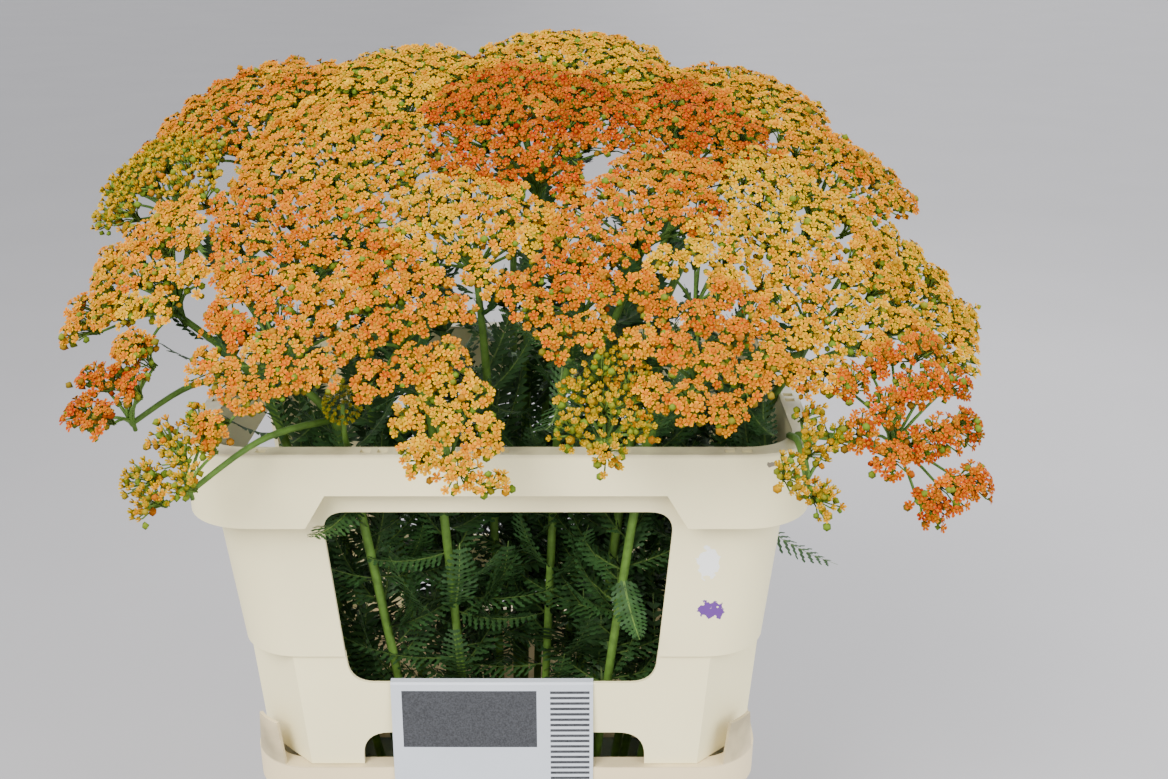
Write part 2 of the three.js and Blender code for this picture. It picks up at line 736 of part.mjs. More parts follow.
function addMesh(name, solid, colour, roughness) {
  const material = new THREE.MeshStandardMaterial({ color: COLOURS[colour], roughness, metalness: 0 });
  material.name = colour;
  const mesh = new THREE.Mesh(geometryOf(solid), material);
  mesh.name = name;
  group.add(mesh);
}

addMesh("bucket", bucket(), "cream", 0.5);
addMesh("collar", collar(), "cream", 0.5);
addMesh("lot_card", card(), "card", 0.7);
addMesh("water", water(plants.map(stemHole)), "water", 0.1);

let flowerNumber = 0;
for (const plant of plants) {
  const label = String(plant.number).padStart(2, "0");
  const made = plant.heads.map((head, i) => {
    flowerNumber += 1;
    const bloom = flowers(plant, head, flowerNumber);
    addMesh(`flowers_${label}${"abc"[i]}`, bloom.solid, head.colour, 0.8);
    return bloom;
  });
  addMesh(`stem_${label}`, greenery(plant, made), "green", 0.7);
}

export default group;
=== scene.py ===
# %% [markdown]
# # Cut yarrow in an auction container
# A bunch of terracotta yarrow stands in a cream water bucket, held up by a windowed collar. The
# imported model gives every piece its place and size. This file puts finer pieces in their places:
# thousands of small flowers, ribbed stems, feathery leaves and moulded plastic with soft edges.

# %% Load the frame
import json
import math
import bpy
import numpy as np
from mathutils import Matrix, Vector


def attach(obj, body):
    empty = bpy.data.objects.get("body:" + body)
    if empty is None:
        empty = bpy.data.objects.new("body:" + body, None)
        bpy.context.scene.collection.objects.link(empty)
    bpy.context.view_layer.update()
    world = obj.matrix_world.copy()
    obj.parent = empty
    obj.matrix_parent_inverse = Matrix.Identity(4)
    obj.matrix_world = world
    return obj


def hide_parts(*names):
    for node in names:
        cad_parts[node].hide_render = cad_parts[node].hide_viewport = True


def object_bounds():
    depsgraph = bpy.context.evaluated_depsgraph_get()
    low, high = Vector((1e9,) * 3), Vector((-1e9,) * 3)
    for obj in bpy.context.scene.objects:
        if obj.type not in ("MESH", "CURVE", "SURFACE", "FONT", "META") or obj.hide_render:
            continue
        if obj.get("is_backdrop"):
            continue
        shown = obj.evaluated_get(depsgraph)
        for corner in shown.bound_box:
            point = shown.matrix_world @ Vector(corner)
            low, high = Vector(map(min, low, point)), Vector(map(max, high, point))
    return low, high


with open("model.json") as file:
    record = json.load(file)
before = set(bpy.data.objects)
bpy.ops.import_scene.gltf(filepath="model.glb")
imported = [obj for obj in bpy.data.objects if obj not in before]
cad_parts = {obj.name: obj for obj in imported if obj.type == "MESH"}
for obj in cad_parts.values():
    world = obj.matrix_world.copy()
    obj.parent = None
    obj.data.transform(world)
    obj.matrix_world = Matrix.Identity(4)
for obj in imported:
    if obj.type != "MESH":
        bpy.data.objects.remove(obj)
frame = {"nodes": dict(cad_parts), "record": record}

low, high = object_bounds()
cad_low, cad_high = np.array(low) * 1000, np.array(high) * 1000
random = np.random.default_rng(24)
print("CAD box in mm:", cad_low.round(1), cad_high.round(1))

# %% [markdown]
# ## Camera
# The photo was taken from a little above the flowers, looking down 19 degrees and straight on to
# the long side. The rim, the windows and the card fixed the height and the focal length: a plain
# camera without shift matches all of them, so that is what is used here.

# %% Camera
FOCAL_LENGTH, LOOKS_DOWN = 43.92, 19.34
camera_data = bpy.data.cameras.new("camera")
camera_data.sensor_width = 36
camera_data.lens = FOCAL_LENGTH
camera = bpy.data.objects.new("camera", camera_data)
camera.location = (0.0575, -1.003, 0.822)
camera.rotation_euler = (math.radians(90 - LOOKS_DOWN), 0, 0)
bpy.context.scene.collection.objects.link(camera)
bpy.context.scene.camera = camera
print("camera at", tuple(camera.location))

# %% [markdown]
# ## Meshes from number arrays
# Every piece below is a set of points in millimetres and a set of faces, worked out with numpy and
# handed to Blender in one go, which is fast and keeps each formula in one place. A colour for each
# point goes with it as the attribute "tint", which the materials read. A finished piece is handed
# to the frame, which hides the plain solid that it stands for.

# %% Mesh helpers
MM = 0.001


def linear(colour):
    """Screen colours from 0 to 255 as linear light: the usual sRGB curve, taken as a power."""
    return (np.asarray(colour, float) / 255) ** 2.2


class Shape:
    """Points, faces and tints that grow as parts are added."""

    def __init__(self):
        self.points, self.faces, self.tints, self.count = [], [], [], 0

    def add(self, points, faces, tint=(1, 1, 1)):
        """points: n by 3, or copies by n by 3; faces: rows of indices into one copy."""
        points = np.asarray(points, float)
        copies = points.reshape(-1, points.shape[-2], 3)
        n = copies.shape[1]
        shift = self.count + n * np.arange(len(copies))
        for rows in faces:
            rows = np.asarray(rows)
            self.faces.append((rows[None] + shift[:, None, None]).reshape(-1, rows.shape[1]))
        self.points.append(copies.reshape(-1, 3))
        self.tints.append(np.broadcast_to(tint, copies.shape).reshape(-1, 3))
        self.count += n * len(copies)

    def piece(self, name, finish, smooth=True):
        """One Blender object, its points kept inside the CAD box."""
        points = np.clip(np.vstack(self.points), cad_low, cad_high) * MM
        mesh = bpy.data.meshes.new(name)
        mesh.vertices.add(len(points))
        mesh.vertices.foreach_set("co", points.astype(np.float32).ravel())
        corners = np.concatenate([rows.ravel() for rows in self.faces])
        sizes = np.concatenate([np.full(len(rows), rows.shape[1]) for rows in self.faces])
        mesh.loops.add(len(corners))
        mesh.loops.foreach_set("vertex_index", corners.astype(np.int32))
        mesh.polygons.add(len(sizes))
        mesh.polygons.foreach_set("loop_start", (np.cumsum(sizes) - sizes).astype(np.int32))
        mesh.polygons.foreach_set("use_smooth", np.full(len(sizes), smooth))
        tint = mesh.attributes.new("tint", "FLOAT_COLOR", "POINT")
        colours = np.hstack([np.vstack(self.tints), np.ones((len(points), 1))])
        tint.data.foreach_set("color", colours.astype(np.float32).ravel())
        mesh.update(calc_edges=True)
        mesh.materials.append(finish.material)
        made = bpy.data.objects.new(name, mesh)
        bpy.context.scene.collection.objects.link(made)
        return made


def stand_for(piece, slot, *nodes):
    """The piece rides the frame's body and takes the place of its CAD nodes."""
    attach(piece, "root")
    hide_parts(*nodes)


def ring_faces(rings, count, closed=False):
    """Quads that join rings of points one to the next."""
    r = np.arange(rings if closed else rings - 1)[:, None]
    i = np.arange(count)[None]
    step = (i + 1) % count
    above = (r + 1) % rings
    quads = [r * count + i, r * count + step, above * count + step, above * count + i]
    return np.stack(np.broadcast_arrays(*quads), -1).reshape(-1, 4)


def tube_faces(rings, count):
    """The faces of a tube of rings, closed by a flat face at either end."""
    last = (rings - 1) * count + np.arange(count)
    return [ring_faces(rings, count), np.arange(count)[None, ::-1], last[None]]


def unit(v):
    """A direction, or each row of an array of them, at length 1."""
    return np.asarray(v, float) / np.linalg.norm(v, axis=-1, keepdims=True)


print("a ring of 4 points joined to the next:", len(ring_faces(2, 4)), "faces")

# %% [markdown]
# ## Materials
# Each finish is made of a few shader nodes. A small class adds and joins them. Noise read from
# Object coordinates gives uneven colour and a fine bump, so that no surface is one flat tone, and
# it stays on the piece wherever the piece goes.

# %% Finishes from nodes
NOISE_RANGE = (0.3, 0.7)


def linear_rgba(colour):
    return (*linear(colour), 1.0)


class Finish:
    """A node material. Its methods add nodes and give back what comes out of them; an input is a
    value or another node's output."""

    def __init__(self, name, roughness):
        self.material = bpy.data.materials.new(name)
        self.material.use_nodes = True
        self.tree = self.material.node_tree
        self.shader = self.tree.nodes["Principled BSDF"].inputs
        self.shader["Roughness"].default_value = roughness

    def feed(self, socket, value):
        if isinstance(value, bpy.types.NodeSocket):
            self.tree.links.new(value, socket)
        else:
            socket.default_value = value

    def node(self, kind, inputs=(), **settings):
        node = self.tree.nodes.new("ShaderNode" + kind)
        for key, value in settings.items():
            setattr(node, key, value)
        for key, value in dict(inputs).items():
            self.feed(node.inputs[key], value)
        return node

    def place(self):
        return self.node("TexCoord").outputs["Object"]

    def axes(self):
        return self.node("SeparateXYZ", {"Vector": self.place()}).outputs

    def calc(self, operation, a, b):
        return self.node("Math", {0: a, 1: b}, operation=operation).outputs[0]

    def remap(self, value, source, target=(0, 1), **settings):
        """A value carried from one range to another."""
        names = ("From Min", "From Max", "To Min", "To Max")
        inputs = {"Value": value, **dict(zip(names, (*source, *target)))}
        return self.node("MapRange", inputs, **settings).outputs["Result"]

    def noise(self, scale, detail=4.0):
        inputs = {"Vector": self.place(), "Scale": scale, "Detail": detail}
        return self.node("TexNoise", inputs).outputs["Fac"]

    def uneven(self, scale, dark, light, detail=4.0):
        """Noise stretched to run from one factor to another."""
        return self.remap(self.noise(scale, detail), NOISE_RANGE, (dark, light))

    def scaled(self, colour, factor):
        """A colour made darker or lighter by a factor."""
        inputs = {0: colour, "Scale": factor}
        return self.node("VectorMath", inputs, operation="SCALE").outputs["Vector"]

    def mix(self, factor, first, second):
        """One colour where the factor is 0 and another where it is 1."""
        node = self.node("Mix", data_type="RGBA")
        sockets = [node.inputs["Factor"], *(s for s in node.inputs if s.type == "RGBA")]
        for socket, value in zip(sockets, (factor, first, second)):
            self.feed(socket, value)
        return next(s for s in node.outputs if s.type == "RGBA")

    def colour(self, value):
        self.feed(self.shader["Base Color"], value)

    def bump(self, height, strength, distance):
        inputs = {"Height": height, "Strength": strength, "Distance": distance}
        self.feed(self.shader["Normal"], self.node("Bump", inputs).outputs["Normal"])


print("finishes read noise between", *NOISE_RANGE)

# %% [markdown]
# Petals and leaves share one recipe: the colour of each point, made uneven by noise that also
# gives a slight bump. Petals are duller and shine less than leaves.

# %% Plant finishes
def tinted(name, roughness, scale, contrast, specular):
    """The tint of each point, made uneven by noise, with a slight bump."""
    finish = Finish(name, roughness)
    tint = finish.node("Attribute", attribute_name="tint").outputs["Color"]
    noise = finish.noise(scale)
    factor = finish.remap(noise, NOISE_RANGE, (1 - contrast, 1 + contrast))
    finish.colour(finish.scaled(tint, factor))
    finish.bump(noise, 0.35, 0.0006)
    finish.shader["Specular IOR Level"].default_value = specular
    return finish


petal_finish = tinted("petals", 0.8, 420, 0.18, 0.06)
green_finish = tinted("stems and leaves", 0.6, 160, 0.25, 0.25)
print("plant finishes: petals, stems and leaves")

# %% [markdown]
# ## Moulded rings
# Bucket and collar are both rings round a rectangle with rounded corners, joined one to the next.
# The frame gives each corner three facets; here it gets twelve, so that it looks round, and a Bevel
# modifier softens the edges the way a mould does.

# %% Outlines with round corners
CORNER_STEPS = 12


def outline(size, z, cut=False, on_x=(), on_y=()):
    """Points round a rectangle: quarter circles at its corners (straight cuts if cut is true), and
    extra points on its sides. z is a height, or the heights of all the points from (x, y)."""
    x, y, corner = size
    part = np.linspace(0, 1, CORNER_STEPS + 1)
    angle = part * math.pi / 2
    along, across = (part, 1 - part) if cut else (np.sin(angle), np.cos(angle))
    points = []
    for quarter, (sx, sy) in enumerate([(1, -1), (1, 1), (-1, 1), (-1, -1)]):
        even = quarter % 2 == 0
        a, b = (along, across) if even else (along[::-1], across[::-1])
        points += list(zip(sx * (x - corner + corner * a), sy * (y - corner + corner * b)))
        side = [(sx * x, sy * v) for v in on_y] if even else [(sx * v, sy * y) for v in on_x]
        turn = (1, -1) if even else (-1, 1)
        points += side + [(turn[0] * px, turn[1] * py) for px, py in side[::-1]]
    flat = np.array(points)
    heights = z(flat[:, 0], flat[:, 1]) if callable(z) else np.full(len(flat), z)
    return np.column_stack([flat, heights])


def inset(size, by):
    return size[0] - by, size[1] - by, max(size[2] - by, 4)


print("points in one ring:", len(outline((9, 9, 5), 0)))

# %% [markdown]
# ## Plastic finish
# The container is cream polypropylene that has been through many auctions: slightly glossy, with
# grey brown dirt on the rim. Noise at two sizes makes the blotches and the fine grain, and the
# height decides where the dirt lies.

# %% Plastic
def plastic(name, colour, dirt_from, dirt_to):
    """Cream plastic whose dirt grows from one height to another, in metres."""
    finish = Finish(name, 0.42)
    heights = (dirt_from, dirt_to)
    up = finish.remap(finish.axes()["Z"], heights, interpolation_type="SMOOTHSTEP")
    amount = finish.calc("MULTIPLY", up, finish.uneven(22, 0.1, 1.0, detail=6))
    clean = finish.scaled(linear(colour), finish.uneven(9, 0.96, 1.03))
    finish.colour(finish.mix(amount, clean, linear_rgba((150, 138, 108))))
    finish.bump(finish.noise(700, 2), 0.12, 0.0004)
    return finish


collar_finish = plastic("collar plastic", (236, 225, 176), 0.4745, 0.478)
bucket_finish = plastic("bucket plastic", (224, 204, 160), 0.2235, 0.226)
print("plastic finishes: collar and bucket")

# %% [markdown]
# A sticker's remains, purple ink and a smear lie on the front: patches of another colour laid over
# the plastic's own. Noise added to the distance from a patch's middle tears its edge.

# %% Marks on the collar
FRONT_FACE = -0.11


def smudge(finish, x, z, wide, high, colour, solid):
    """A torn patch on the front face: an ellipse in metres whose edge is broken up by noise.
    solid: from 0, mere specks, to 1, a full patch."""
    calc, axes = finish.calc, finish.axes()
    across = calc("DIVIDE", calc("SUBTRACT", axes["X"], x), wide)
    upward = calc("DIVIDE", calc("SUBTRACT", axes["Z"], z), high)
    squares = (calc("MULTIPLY", v, v) for v in (across, upward))
    edge = finish.uneven(260, 0.9 - solid, 1.5 - solid)
    patch = calc("LESS_THAN", calc("ADD", calc("ADD", *squares), edge), 1.0)
    amount = calc("MULTIPLY", patch, calc("LESS_THAN", axes["Y"], FRONT_FACE))
    below = finish.shader["Base Color"].links[0].from_socket
    finish.colour(finish.mix(amount, below, linear_rgba(colour)))


smudge(collar_finish, 0.1415, 0.392, 0.0105, 0.016, (234, 234, 230), 0.7)
smudge(collar_finish, 0.1445, 0.355, 0.017, 0.015, (92, 52, 128), 0.42)
smudge(collar_finish, 0.179, 0.470, 0.006, 0.0035, (120, 110, 92), 0.5)
print("three marks on the collar")

# %% [markdown]
# ## Collar
# A wall that tapers down to a ledge, cut back corners below it, and a rim that folds over into a
# skirt. It is lofted from twelve rings; windows, notches and the small slots in the rim are cut out
# with Boolean modifiers, which is how a modeller would do it by hand too.

# %% Collar
WALL, GAP = 3, 0.35
RIM, RIM_WIDTH = (212, 150, 48), 14
LEDGE_AT = (186, 127, 44)
TOP, LEDGE, BUCKET_TOP = 478, 317, 225
COLLAR_FOOT = BUCKET_TOP + GAP
SKIRT_MIDDLE, SKIRT_CORNER = 29.5, 53.0


def collar_wall(z):
    """Half width, half depth and corner of the collar's outer face at a height above its ledge."""
    t = (z - LEDGE) / (TOP - LEDGE)
    return tuple(a * (1 - t) + b * t for a, b in zip(LEDGE_AT, inset(RIM, RIM_WIDTH - WALL)))


def skirt_end(x, y):
    """The skirt ends lower near the corners than in the middle of each side."""
    middle = np.where(np.abs(y) > RIM[1] - 8, np.abs(x) <= 112, np.abs(y) <= 56)
    return TOP - np.where(middle, SKIRT_MIDDLE, SKIRT_CORNER)


cut_foot, cut_ledge = (177, 120, 38), (184, 125, 38)
collar_rings = [
    outline(inset(size, by), z, cut, on_x=(126, 112), on_y=(70, 56))
    for size, by, z, cut in [
        (RIM, 0, TOP, False),
        (collar_wall(TOP), WALL, TOP, False),
        (collar_wall(LEDGE + WALL), WALL, LEDGE + WALL, False),
        (cut_ledge, WALL, LEDGE + WALL - 0.5, True),
        (cut_foot, WALL, COLLAR_FOOT, True),
        (cut_foot, 0, COLLAR_FOOT, True),
        (cut_ledge, 0, LEDGE, True),
        (collar_wall(LEDGE), 0, LEDGE, False),
        (collar_wall(TOP - WALL), 0, TOP - WALL, False),
        (RIM, WALL, TOP - WALL, False),
        (RIM, WALL, skirt_end, False),
        (RIM, 0.8, skirt_end, False),
    ]
]
collar_shape = Shape()
collar_faces = ring_faces(len(collar_rings), len(collar_rings[0]), closed=True)
collar_shape.add(np.vstack(collar_rings), [collar_faces])
collar = collar_shape.piece("collar_moulded", collar_finish)
print("collar before its cuts:", len(collar.data.polygons), "faces")

# %% [markdown]
# The cutters are prisms pushed right through. They only exist while the cuts are worked out. The
# front and back share one, and so do the two short sides. The rim has pairs of slots at an even
# pitch, five pairs on a long side and two on a short one.

# %% Cutters
def trapezium(top, bottom, half_top, half_bottom, corner):
    """A trapezium whose corners are quadratic arcs from one side to the next."""
    right = [(half_bottom, bottom), (half_top, top)]
    corners = np.array(right + [(-x, z) for x, z in right[::-1]], float)
    t = np.linspace(0, 1, 9)[:, None]
    loop = []
    for i, at in enumerate(corners):
        before, after = corners[i - 1] - at, corners[(i + 1) % 4] - at
        a = at + before * corner / np.linalg.norm(before)
        b = at + after * corner / np.linalg.norm(after)
        loop.append((1 - t) ** 2 * a + 2 * t * (1 - t) * at + t**2 * b)
    return np.vstack(loop)


def prism(loop, ends, axis):
    """A loop carried along an axis from one end to the other, closed by flat faces."""
    columns = list(np.vstack([loop, loop]).T)
    columns.insert(axis, np.repeat(ends, len(loop)))
    return np.column_stack(columns), tube_faces(2, len(loop))


SQUARE = np.array([(-1, -1), (1, -1), (1, 1), (-1, 1)])
SLOT_PITCH, SLOT_STEP, IN_RIM = 79, 5.5, 7.5
notch = (COLLAR_FOOT + 27, COLLAR_FOOT - 27)
along_y, along_x = ((RIM[1] + 9, -RIM[1] - 9), 1), ((-RIM[0] - 9, RIM[0] + 9), 0)
cutters, side_cutters, slots = Shape(), Shape(), Shape()
cutters.add(*prism(trapezium(431, 294, 118, 107, 17), *along_y))
cutters.add(*prism(trapezium(*notch, 101, 101, 20), *along_y))
side_cutters.add(*prism(trapezium(431, 294, 76, 68, 17), *along_x))
side_cutters.add(*prism(trapezium(*notch, 60, 60, 20), *along_x))
for sign in (-1, 1):
    for axis, pairs in ((1, (-2, -1, 0, 1, 2)), (0, (-0.5, 0.5))):
        for at in (k * SLOT_PITCH + step for k in pairs for step in (-SLOT_STEP, SLOT_STEP)):
            middle, half = [at, at], [3.2, 3.2]
            middle[axis], half[axis] = sign * (RIM[axis] - IN_RIM), 3.4
            slots.add(*prism(middle + SQUARE * half, (TOP - 9.0, TOP + 5.0), 2))
print("cutter points:", cutters.count, side_cutters.count, slots.count)

# %% [markdown]
# Blender works a Boolean out when it evaluates the object. The result is kept as the collar's own
# mesh, and a Bevel modifier rounds every edge a little, as a mould does.

# %% Make the cuts
def cut_out(target, shape):
    """The target's mesh with the shape cut out of it; the cutter is removed again."""
    cutter = shape.piece("cutter", collar_finish)
    modifier = target.modifiers.new("cut", "BOOLEAN")
    modifier.operation, modifier.object, modifier.solver = "DIFFERENCE", cutter, "EXACT"
    graph = bpy.context.evaluated_depsgraph_get()
    mesh = bpy.data.meshes.new_from_object(target.evaluated_get(graph))
    target.modifiers.clear()
    target.data = mesh
    bpy.data.objects.remove(cutter)


for shape in (cutters, side_cutters, slots):
    cut_out(collar, shape)


def soften(piece, width, angle=30):
    """Moulded edges: a small bevel wherever two faces meet at more than the angle."""
    modifier = piece.modifiers.new("bevel", "BEVEL")
    modifier.width, modifier.segments, modifier.limit_method = width * MM, 2, "ANGLE"
    modifier.angle_limit = math.radians(angle)
    modifier.harden_normals = True


soften(collar, 0.8)
stand_for(collar, "cream", "collar")
print("collar after its cuts:", len(collar.data.polygons), "faces")

# %% [markdown]
# ## Bucket
# The bucket is one loft from the outer foot up over the band and the corner ears and down the
# inside. Ears are simply stretches of the top rings that are higher than the rest.

# %% Bucket
BUCKET_FOOT, BUCKET_RIM = (148, 92, 28), (184, 124, 42)
BAND, PROUD, EAR, FLOOR = 24, 10, 33, 4
bucket_wall = inset(BUCKET_RIM, PROUD)
low_band = BUCKET_TOP - BAND


def ear_height(x, y):
    """Higher over the middle of each rounded corner, by its angle in degrees."""
    past_x = np.abs(x) - (BUCKET_RIM[0] - BUCKET_RIM[2])
    past_y = np.abs(y) - (BUCKET_RIM[1] - BUCKET_RIM[2])
    turn = np.degrees(np.arctan2(past_y, past_x))
    ear = (past_x > 0) & (past_y > 0) & (turn > 29) & (turn < 61)
    return BUCKET_TOP + np.where(ear, EAR, 0)


bucket_rings = [
    outline(inset(size, by), z)
    for size, by, z in [
        (BUCKET_FOOT, 0, 0),
        (bucket_wall, 1, low_band),
        (bucket_wall, 0, BUCKET_TOP - WALL),
        (BUCKET_RIM, WALL, BUCKET_TOP - WALL),
        (BUCKET_RIM, WALL, low_band),
        (BUCKET_RIM, 0.5, low_band),
        (BUCKET_RIM, 0, ear_height),
        (BUCKET_RIM, 2.5, ear_height),
        (BUCKET_RIM, 2.8, BUCKET_TOP),
        (bucket_wall, WALL, BUCKET_TOP),
        (BUCKET_FOOT, WALL, FLOOR),
    ]
]
bucket_shape = Shape()
bucket_faces = tube_faces(len(bucket_rings), len(bucket_rings[0]))
bucket_shape.add(np.vstack(bucket_rings), bucket_faces)
bucket = bucket_shape.piece("bucket_moulded", bucket_finish)
soften(bucket, 0.6)
stand_for(bucket, "cream", "bucket")
print("bucket:", len(bucket.data.polygons), "faces")

# %% [markdown]
# ## Where the plants stand
# Each head has eight numbers: its plant, X, Y, Z, radius, lean to X and Y, and the height where a
# side shoot leaves the stem (0 for the stem's own head). They are the frame's own, so stems and
# branches meet the flowers that the frame puts there.

# %% Plants
HEADS = np.array("""
    1 -140 172 664 62 -.15 .45 0     2 0 184 668 66 0 .45 0
    3 138 170 660 62 .15 .45 0       4 -198 86 664 76 -.28 -.25 0
    5 -84 80 684 64 -.05 -.25 0      6 52 98 692 74 .05 -.25 0
    7 182 88 670 58 .25 -.25 0       8 -246 8 628 56 -.45 -.4 0
    9 -118 -4 648 70 -.12 -.45 0     10 24 -2 662 76 0 -.5 0
    11 138 20 658 56 .15 -.45 0      12 236 16 628 62 .45 -.4 0
    13 -228 -82 586 56 -.45 -.55 0   13 -246 -146 522 32 -.6 -.6 500
    14 -138 -84 606 66 -.15 -.6 0    15 96 -68 624 60 .05 -.5 0
    16 200 -52 612 60 .3 -.5 0       17 -14 -92 612 54 0 -.6 0
    18 56 -128 590 50 0 -.7 0        19 132 -118 594 48 .1 -.65 0
    20 -60 -146 576 46 0 -.75 0      20 -24 -204 512 36 .1 -.9 496
    21 -138 -152 562 50 -.2 -.75 0   21 -194 -201 494 26 -.5 -.7 490
    22 130 -168 560 52 .1 -.85 0     22 70 -200 524 34 0 -.9 496
    23 214 -110 574 62 .3 -.65 0     24 290 -46 562 52 .7 -.35 0
    25 266 -168 514 48 .6 -1 0       25 199 -200 498 23 .3 -.9 480
""".split(), float).reshape(-1, 8)
PLANTS = [HEADS[HEADS[:, 0] == number] for number in range(1, 26)]
print(len(PLANTS), "plants,", len(HEADS), "heads")

# %% [markdown]
# The bunch opens like a fan: slowly inside the collar, faster above it. So a stem's path is one
# site, scaled by how far the fan has opened at each height. Far sites are pulled in to clear the
# rim.

# %% The fan
STEM_REACH = np.array([279.0, 188.0])


def opened(z):
    """How far the bunch has spread at a height, as a share of its spread at 600 mm."""
    if z <= TOP:
        return 0.3 + 0.36 * z / TOP
    return 0.66 + 0.34 * (z - TOP) / (600 - TOP)


def stem_place(heads):
    """Where a plant's stem stands in the fan; stems of far heads stay inside the rim."""
    x, y, z = heads[0, 1:4]
    site = np.array([x, y]) / opened(z)
    return site * min(1, *(STEM_REACH / np.maximum(np.abs(site), 1)))


def stem_point(site, z):
    return np.array([*(site * opened(z)), z])


def poise(head):
    """The way a head faces, the lowest point of its underside and the hub of its branches."""
    at, r = head[1:4], head[4]
    normal = unit([*head[5:7], 1])
    apex = at - 0.3 * r * normal
    down = unit((normal + [0, 0, 1]) / 2)
    return normal, apex, apex - (0.3 * r + 12) * down


sites = [stem_place(heads) for heads in PLANTS]
print("stems stand up to", np.abs(sites).max(0).round(), "mm off the middle, at 600 mm")

# %% [markdown]
# ## One small yarrow flower
# What looks like one flower of 7 mm is a little head: about five broad ray petals with toothed
# tips round a cushion of tiny disc flowers, over a green cup. One pattern of 40 faces is made here
# and repeated some thousands of times, each copy with its own size, tilt, cupping and colour.

# %% Flower pattern
RAYS = 5


def flower_pattern():
    """Points of a flower of radius 1, ray by ray on circles of given radius and height, and how
    far each rises when the petals cup; its faces; and for each point the share of four colours:
    disc, petal, petal edge, green cup."""
    turn = 2 * math.pi / RAYS
    k = np.arange(RAYS) * turn
    level = lambda z: np.full(RAYS, z)
    polar = lambda angle, r, z: np.column_stack([r * np.cos(angle), r * np.sin(angle), level(z)])
    rows = [
        ("petal", polar(k, 0.34, 0.02), 0.0),
        ("edge", polar(k + 0.17 * turn, 0.86, 0.02), 0.7),
        ("petal", polar(k + 0.5 * turn, 0.62, 0.1), 0.45),
        ("edge", polar(k + 0.5 * turn, 1.0, -0.06), 0.9),
        ("edge", polar(k + 0.83 * turn, 0.86, 0.02), 0.7),
        ("disc", polar(k, 0.33, 0.08), 0.0),
        ("disc", polar(k, 0.24, 0.28), 0.0),
        ("green", polar(k, 0.3, -0.02), 0.0),
    ]
    points = np.vstack([row[1] for row in rows] + [[[0, 0, 0.36], [0, 0, -0.62]]])
    cup = np.concatenate([np.full(RAYS, row[2]) for row in rows] + [[0, 0]])
    kinds = [row[0] for row in rows for _ in range(RAYS)] + ["disc", "green"]
    names = ("disc", "petal", "edge", "green")
    shares = np.array([[kind == name for name in names] for kind in kinds], float)
    i = np.arange(RAYS)
    j = (i + 1) % RAYS
    crown, foot = (np.full(RAYS, len(rows) * RAYS + end) for end in (0, 1))
    at = lambda row, ray: row * RAYS + ray
    triangles = [
        [at(0, i), at(1, i), at(2, i)],
        [at(1, i), at(3, i), at(2, i)],
        [at(3, i), at(4, i), at(2, i)],
        [at(4, i), at(0, j), at(2, i)],
        [at(0, j), at(0, i), at(2, i)],
        [at(6, i), at(6, j), crown],
        [at(7, j), at(7, i), foot],
    ]
    quads = np.stack([at(5, i), at(5, j), at(6, j), at(6, i)], -1)
    return points, cup, [np.vstack([np.stack(t, -1) for t in triangles]), quads], shares


pattern, cupping, pattern_faces, shares = flower_pattern()
print("one flower:", len(pattern), "points,", sum(map(len, pattern_faces)), "faces")

# %% [markdown]
# ## Colours that age
# Terracotta yarrow opens brick red and fades through orange and gold to pale yellow. One row of
# colours, read at a flower's age, gives all the heads, and their own mean age makes one head redder
# and the next one yellow. Young flowers are greener, the petals' edges are a step older than their
# middles, and the disc lies in between.

# %% Colour by age
AGES = [0.0, 0.2, 0.4, 0.6, 0.8, 1.0]
PETALS = linear([
    (104, 20, 0), (134, 39, 0), (158, 64, 0), (174, 94, 0), (182, 122, 0), (186, 142, 0),
])
GREEN = linear((96, 120, 52))
HEAD_AGE = {"terracotta": 0.22, "orange": 0.44, "gold": 0.62, "yellow": 0.78, "olive": 0.72}


def aged(age):
    """Petal colours at some ages, between the colours of the row."""
    return np.column_stack([np.interp(age, AGES, PETALS[:, c]) for c in range(3)])


YOUNG, OLD_DISC = linear((116, 124, 20)), linear((136, 78, 0))


def flower_colours(age, openness):
    """Disc, petal, petal edge and cup of each flower, mixed with green while it is closed."""
    petal, edge = aged(np.clip(age, 0, 1)), aged(np.clip(age + 0.3, 0, 1))
    disc = 0.55 * aged(np.clip(0.45 + 0.5 * age, 0, 1)) + 0.45 * OLD_DISC
    young = (0.55 * (1 - openness))[:, None]
    cup = np.broadcast_to(GREEN, petal.shape) * random.uniform(0.7, 1.2, (len(age), 1))
    mixed = [c * (1 - young) + YOUNG * young for c in (disc, petal, edge)]
    light = random.uniform(0.84, 1.12, (len(age), 1, 1))
    return np.stack([*mixed, cup], 1) * light


print("petals at half age:", aged(0.5).round(3))

# %% [markdown]
# ## Where the flowers sit
# The frame's head is a field of coarse stars, 20 mm apart, each one cluster of the real head. The
# small flowers are scattered on a honeycomb over the frame's own surface and domed a little in
# each cluster. The field is a little wider than the frame's head, so that neighbouring heads close
# up as they do in a packed bunch.

# %% Reading a head
GROW = 1.18


def head_surface(node):
    """A frame head's points in mm, its triangles and how many triangles use each point."""
    mesh = frame["nodes"][node].data
    co = np.zeros(len(mesh.vertices) * 3)
    mesh.vertices.foreach_get("co", co)
    mesh.calc_loop_triangles()
    corners = np.zeros(len(mesh.loop_triangles) * 3, np.int32)
    mesh.loop_triangles.foreach_get("vertices", corners)
    points, index = np.unique((co.reshape(-1, 3) / MM).round(3), axis=0, return_inverse=True)
    triangles = index.reshape(-1)[corners].reshape(-1, 3)
    uses = np.bincount(triangles.ravel(), minlength=len(points))
    return points, triangles, uses


def frame_of(normal):
    """Two directions across a normal, as rows with the normal last."""
    side = unit(np.cross([0.2, 1, 0.1], normal))
    return np.array([side, np.cross(normal, side), normal])


